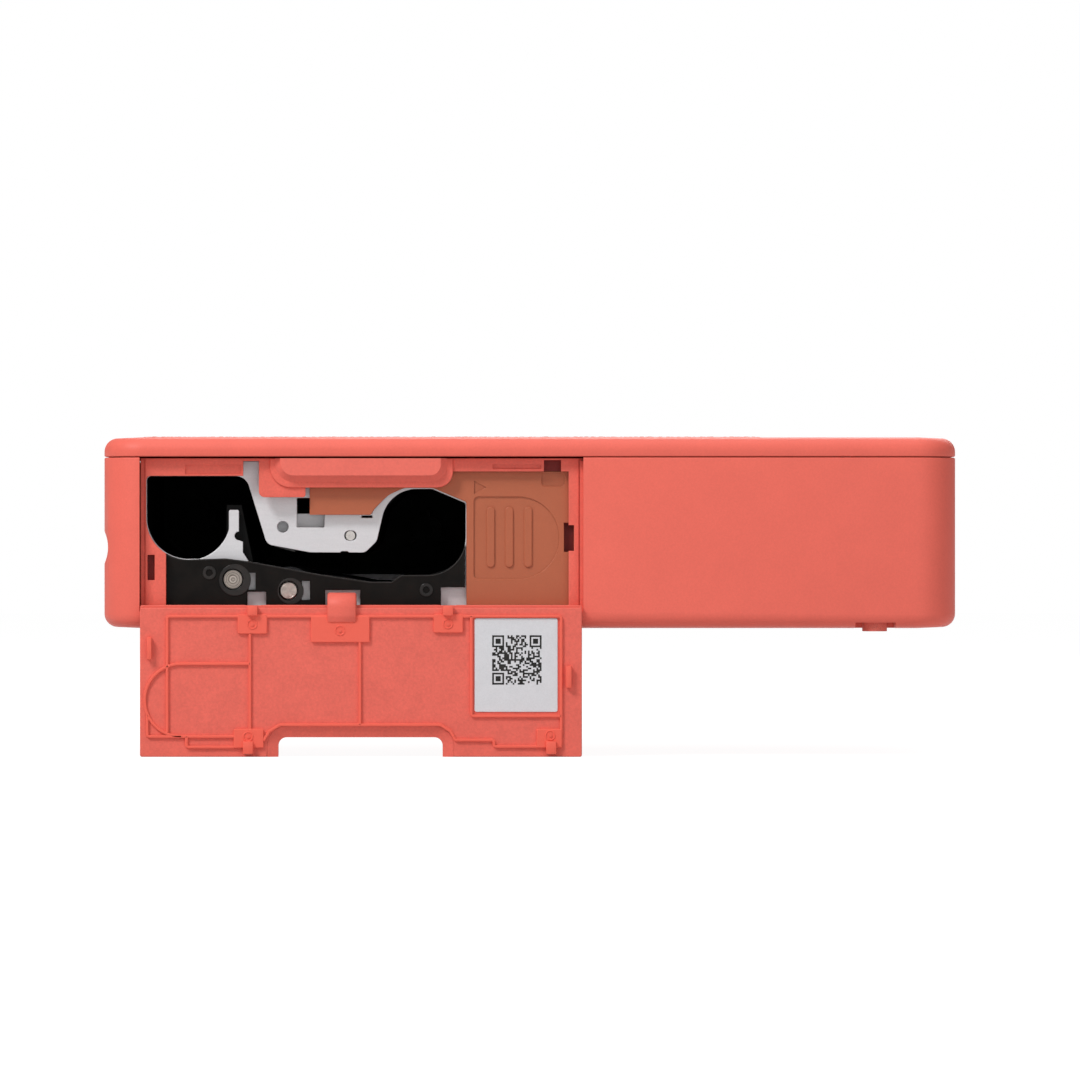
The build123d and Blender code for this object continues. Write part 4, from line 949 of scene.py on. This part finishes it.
def ejectSlider():
    s = slider
    brown = finishes["slider_brown"]
    outline = roundedPath([
        (-10.84, 2.1), (-10.84, 21.6, 0.4), (-16.6, 24.0, 2.0), (-21.5, 24.0, 2.0), (-24.2, 22.8, 4.0),
        (-26.5, 20.5, 1.0), (-27.2, 19.4, 0.4), (-37.64, 19.4), (-37.64, 27.0), (-14.0, 27.0), (-12.6, 28.9),
        (8.6, 28.9), (8.6, 2.1)])
    slots = [rectPath(*slot) for slot in s["slots"]]
    x, z, radius = s["thumb"]
    pad = roundedPath([(-9.55, z + radius, 0.8), (-9.55, z - radius, 0.8)]
                      + arcPath(x, z, radius, -90, 90, 40))
    sunk = [pad, rectPath(*s["pocket"]), s["arrow"]]
    parts = [plate("sliderBase", outline, slots, s["floor"] - 0.02, s["back"], 0.05, brown),
             plate("sliderFace", outline, slots + sunk, s["front"], s["floor"], s["edge"], brown)]
    half = s["ribHalf"]
    for x in s["ribs"]:
        rib = rectPath(x - half, x + half, *s["ribSpan"], half - 0.01)
        parts.append(plate("thumbRib", rib, [], s["front"], s["floor"] + 0.05, 0.15, brown))
    return joined("ejectSlider", parts)


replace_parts(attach(ejectSlider(), "eject_slider"), "eject_slider")
print("slider made")


# ---- cassette door with its ribs, pads, hooks, label and strap

door = {
    "inner": -52.7, "middle": -52.0, "outer": -51.4, "left": -66.45, "right": 8.9, "top": 3.97,
    "low": -21.87, "notch": (-42.84, -14.86, -18.55), "band": 1.9, "lip": 0.42, "edge": 0.16,
    "padHeight": 0.55, "hookWidth": 1.75, "hookReach": 1.35, "tabReach": 1.2, "ribLevel": 0.22,
    "pads": ((-49.79, -44.74, -0.89, 2.45), (-16.4, -11.35, -0.72, 2.45), (-37.29, -27.28, -2.35, 2.11),
             (-50.48, -45.34, -20.33, -17.07), (1.15, 5.51, -20.33, -17.07)),
    "bosses": ((-47.3, 0.75), (-13.95, 0.8), (-32.35, -0.33), (-48.0, -18.4), (3.5, -18.2)),
    "hooks": ((-47.25, 2.2, 3.92), (-13.92, 2.2, 3.92), (-48.0, -21.4, -19.2), (3.67, -21.4, -19.2)),
    "tabs": ((-65.2, -64.43, -5.26, -1.49), (6.2, 7.14, -10.09, -6.37)),
}


def doorOutline(grow):
    left, right, high = door["notch"]
    left, right, high = left - grow, right + grow, high + grow
    top = door["top"] - (door["lip"] if grow else 0)
    return roundedPath([(door["left"], top, 0.35), (door["left"], door["low"], 0.35),
                        (left, door["low"], 0.3), (left, high, 1.4 + grow), (right, high, 1.4 + grow),
                        (right, door["low"], 0.3), (door["right"], door["low"], 0.35),
                        (door["right"], top, 0.35)])


def notchSlope():
    # the face slopes back to a thin edge round the notch
    left, right, high = door["notch"]
    rows = []
    for grow, y in ((door["band"], door["inner"] + 0.04), (0.02, door["middle"])):
        line = roundedPath([(left - grow - 20, door["low"]), (left - grow, door["low"]),
                            (left - grow, high + grow, 1.4 + grow), (right + grow, high + grow, 1.4 + grow),
                            (right + grow, door["low"]), (right + grow + 20, door["low"])])[1:-1]
        rows.append([Vector((x, y, z)) * mm for x, z in line])
    bm = bmesh.new()
    outer, inner = [[bm.verts.new(v) for v in row] for row in rows]
    under = [bm.verts.new(v.co + Vector((0, 0.0006, 0))) for v in outer]
    floor = [bm.verts.new(v.co + Vector((0, 0.0001, 0))) for v in inner]
    loops = [outer, inner, floor, under]
    for a, b in zip(loops, loops[1:] + loops[:1]):
        for k in range(len(a) - 1):
            bm.faces.new((a[k], a[k + 1], b[k + 1], b[k]))
    bm.faces.new([loop[0] for loop in loops])
    bm.faces.new([loop[-1] for loop in loops])
    return dressed(smoothed(fromBmesh("notchSlope", bm)), doorFinish)


def edgeMesh(name, lines, y):
    verts = []
    edges = []
    for line in lines:
        start = len(verts)
        verts += [(x * mm, y * mm, z * mm) for x, z in line]
        edges += [(start + k, start + k + 1) for k in range(len(line) - 1)]
    data = bpy.data.meshes.new(name)
    data.from_pydata(verts, edges, [])
    return data


def ribLines():
    top, low, left = 2.1, -18.4, -47.7
    bowX, bowZ, bowR = -59.45, -12.2, 6.2
    return [
        [(-61.8, -17.7), (-61.8, top), (5.35, top), (5.35, -19.9)],
        [(left, -0.9), (left, -17.1)],
        [(-9.95, top), (-9.95, -14.9), (5.35, -14.9)],
        [(-28.95, -2.3), (-28.95, -16.4)],
        [(-65.2, -14.8), (-65.2, low), (-50.4, low)],
        [(-58.5, low), (-58.5, -20.2), (-50.4, -20.2)],
        [(-45.4, -19.1), (-44.4, -17.5), (-42.6, -16.4), (-15.2, -16.4), (-13.5, -17.5), (-12.7, -19.0),
         (-6.1, -19.0), (-6.1, -20.1), (1.2, -20.1)],
        [(left, bowZ + bowR)] + arcPath(bowX, bowZ, bowR, 90, 270),
    ]


def doorBody():
    d = door
    inner = d["inner"]
    back = plate("doorBack", doorOutline(0), [], d["middle"] - 0.02, d["outer"], 0.12, finishes["case_coral"])
    face = plate("doorFace", doorOutline(d["band"]), [], inner, d["middle"], d["edge"], doorFinish)
    parts = [back, face, notchSlope()]
    lines = edgeMesh("doorRibs", ribLines(), inner - d["ribLevel"])
    parts.append(ribs.run("doorRibs", lines, {
        "Width": 0.5 * mm, "Corner": 0.4 * mm, "Round": 0.13 * mm, "Finish": doorFinish}))
    padFront = inner - d["padHeight"]
    for spot in d["pads"]:
        parts.append(plate("doorPad", rectPath(*spot, 0.3), [], padFront, inner + 0.1, 0.14, doorFinish))
    half = d["hookWidth"] / 2
    for x, z0, z1 in d["hooks"]:
        hook = box("doorHook", x - half, x + half, inner - d["hookReach"], inner, z0, z1, 0.18)
        parts.append(dressed(hook, doorFinish))
    for x0, x1, z0, z1 in d["tabs"]:
        tab = box("doorTab", x0, x1, inner - d["tabReach"], inner + 0.1, z0, z1, 0.12)
        parts.append(dressed(tab, doorFinish))
    spots = pointMesh("bossSpots", [(x, padFront - 0.02, z) for x, z in d["bosses"]])
    parts.append(bosses.run("padBosses", spots, {
        "Ring": 0.78 * mm, "Wire": 0.11 * mm, "Pin": 0.3 * mm, "Height": 0.3 * mm, "Finish": doorFinish}))
    return joined("cassetteDoor", [smoothed(part) for part in parts])


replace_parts(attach(doorBody(), "cassette_door"), "cassette_door")

label = {"x0": -9.4, "x1": 4.75, "z0": -14.2, "z1": 1.75, "front": -52.85, "codeX": -6.4, "codeZ": -9.55,
         "cells": 29, "pitch": 0.29, "share": 0.5, "seed": 11}


def doorLabel():
    p = label
    pitch, count = p["pitch"], p["cells"]
    paper = plate("doorLabel", rectPath(p["x0"], p["x1"], p["z0"], p["z1"], 0.35), [],
                  p["front"], door["inner"], 0.05, finishes["label_white"])
    y = p["front"] - 0.005
    marks = ((0, 0), (0, count - 7), (count - 7, count - 7))
    spots = []
    for i in range(count):
        for k in range(count):
            # the squares keep clear of the three corner frames
            if not any(a <= i < a + 8 and b <= k < b + 8 or a - 1 <= i < a and b <= k < b + 7
                       for a, b in marks):
                spots.append((p["codeX"] + (i + 0.5) * pitch, y, p["codeZ"] + (k + 0.5) * pitch))
    field = codeField.run("codeField", pointMesh("codeSpots", spots), {
        "Cell": pitch * mm, "Share": p["share"], "Seed": p["seed"], "Finish": codeFinish})
    parts = [paper, field]
    for a, b in marks:
        x, z = p["codeX"] + (a + 3.5) * pitch, p["codeZ"] + (b + 3.5) * pitch
        big, gap, small = [rectPath(x - half, x + half, z - half, z + half)
                           for half in (3.5 * pitch, 2.5 * pitch, 1.5 * pitch)]
        parts.append(plate("codeFrame", big, [gap], y - 0.015, y + 0.015, 0.002, codeFinish))
        parts.append(plate("codeDot", small, [], y - 0.015, y + 0.015, 0.002, codeFinish))
    return joined("doorLabel", parts)


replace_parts(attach(doorLabel(), "cassette_door"), "door_label")

strap = {"x0": -34.5, "x1": -29.57, "hingeY": -51.25, "hingeZ": 3.53, "inner": 1.6, "outer": 2.6,
         "from": 16, "steps": 32, "tail": 2.38, "tailSteps": 10, "edge": 0.26}


def hingeStrap():
    # band bent over the hinge line, then straight down the pad, with soft edges and a thinner tip
    s = strap
    x0, x1, inner, edge, first = s["x0"], s["x1"], s["inner"], s["edge"], s["from"]
    bend = [(math.radians(first + (180 - first) * k / s["steps"]), 0.0) for k in range(s["steps"] + 1)]
    tail = [(math.pi, s["tail"] * (k + 1) / s["tailSteps"]) for k in range(s["tailSteps"])]
    rings = []
    for angle, drop in bend + tail:
        thin = 1 - max(0.0, drop / s["tail"] - 0.6)
        outer = inner + (s["outer"] - inner) * thin
        section = ((x0 + edge, outer), (x1 - edge, outer), (x1, outer - edge),
                   (x1, inner), (x0, inner), (x0, outer - edge))
        rings.append([(x, s["hingeY"] + radius * math.cos(angle),
                       s["hingeZ"] + radius * math.sin(angle) - drop) for x, radius in section])
    return dressed(smoothed(skinned("hingeStrap", rings), 50), finishes["case_coral"])


strapPiece = hingeStrap()
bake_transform(strapPiece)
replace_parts(strapPiece, "hinge_strap")
print("door made")


# ---- studio

stage = {"reach": 3.0, "drop": 0.02, "grey": 0.62, "glow": 1.22, "share": 0.78, "ambient": 0.3}
lamps = [("key", (-0.6, -0.66, 0.82), 0.32, 9.2), ("fill", (0.4, -1.15, 0.25), 0.9, 2.6),
         ("overhead", (0.05, -0.05, 1.0), 0.9, 3.8), ("rear", (0.2, 1.0, 0.6), 0.7, 4.5)]


def studio():
    floor = bpy.data.meshes.new("floor")
    reach, low, grey = stage["reach"], cadLow.z - stage["drop"] * mm, stage["grey"]
    corners = [(x * reach, y * reach, low) for x, y in ((-1, -1), (1, -1), (1, 1), (-1, 1))]
    floor.from_pydata(corners, [], [(0, 1, 2, 3)])
    ground = meshObject("floor", floor)
    f = Finish("studioFloor")
    rays = f.node("ShaderNodeLightPath", None, None, "Is Camera Ray")
    glossy = f.node("ShaderNodeLightPath", None, None, "Is Glossy Ray")
    clear = f.node("ShaderNodeLightPath", None, None, "Is Transmission Ray")
    seen = rays + glossy + clear
    plain = f.node("ShaderNodeBsdfDiffuse", None, {"Color": (grey, grey, grey, 1)})
    white = f.node("ShaderNodeEmission", None, {"Color": (1, 1, 1, 1), "Strength": stage["glow"]})
    f.end(f.node("ShaderNodeMixShader", None, {0: (seen > 0.5) * stage["share"], 1: plain, 2: white}))
    ground.data.materials.append(f.material)

    world = bpy.data.worlds.new("studioWorld")
    scene.world = world
    world.use_nodes = True
    tree = world.node_tree
    tree.nodes.clear()
    path = tree.nodes.new("ShaderNodeLightPath")
    ambient = tree.nodes.new("ShaderNodeBackground")
    ambient.inputs["Strength"].default_value = stage["ambient"]
    backdrop = tree.nodes.new("ShaderNodeBackground")
    backdrop.inputs["Color"].default_value = (1, 1, 1, 1)
    ambient.inputs["Color"].default_value = (1, 1, 1, 1)
    either = tree.nodes.new("ShaderNodeMath")
    either.operation = "MAXIMUM"
    mixer = tree.nodes.new("ShaderNodeMixShader")
    leave = tree.nodes.new("ShaderNodeOutputWorld")
    tree.links.new(path.outputs["Is Camera Ray"], either.inputs[0])
    tree.links.new(path.outputs["Is Transmission Ray"], either.inputs[1])
    tree.links.new(either.outputs[0], mixer.inputs[0])
    tree.links.new(ambient.outputs[0], mixer.inputs[1])
    tree.links.new(backdrop.outputs[0], mixer.inputs[2])
    tree.links.new(mixer.outputs[0], leave.inputs[0])

    for name, spot, size, power in lamps:
        data = bpy.data.lights.new(name, "AREA")
        data.size = size
        data.energy = power
        lamp = meshObject(name, data)
        lamp.location = spot
        lamp.rotation_euler = (Vector((0, 0, 0.01)) - Vector(spot)).to_track_quat("-Z", "Y").to_euler()
    scene.view_settings.view_transform = "Standard"


def camera():
    # long lens square on to the side; the body spans 851.5 of 1080 px
    view = {"distance": 1.6, "x": 1.75, "z": 15.1, "plane": -46.0, "frameWidth": 184.9, "sensor": 36.0}
    data = bpy.data.cameras.new("camera")
    data.sensor_width = view["sensor"]
    data.lens = view["sensor"] * (view["distance"] + view["plane"] * mm) / (view["frameWidth"] * mm)
    data.clip_start = 0.05
    data.clip_end = 20
    made = meshObject("camera", data)
    made.location = (view["x"] * mm, -view["distance"], view["z"] * mm)
    made.rotation_euler = (math.pi / 2, 0, 0)
    scene.camera = made


studio()
camera()
print("studio made")
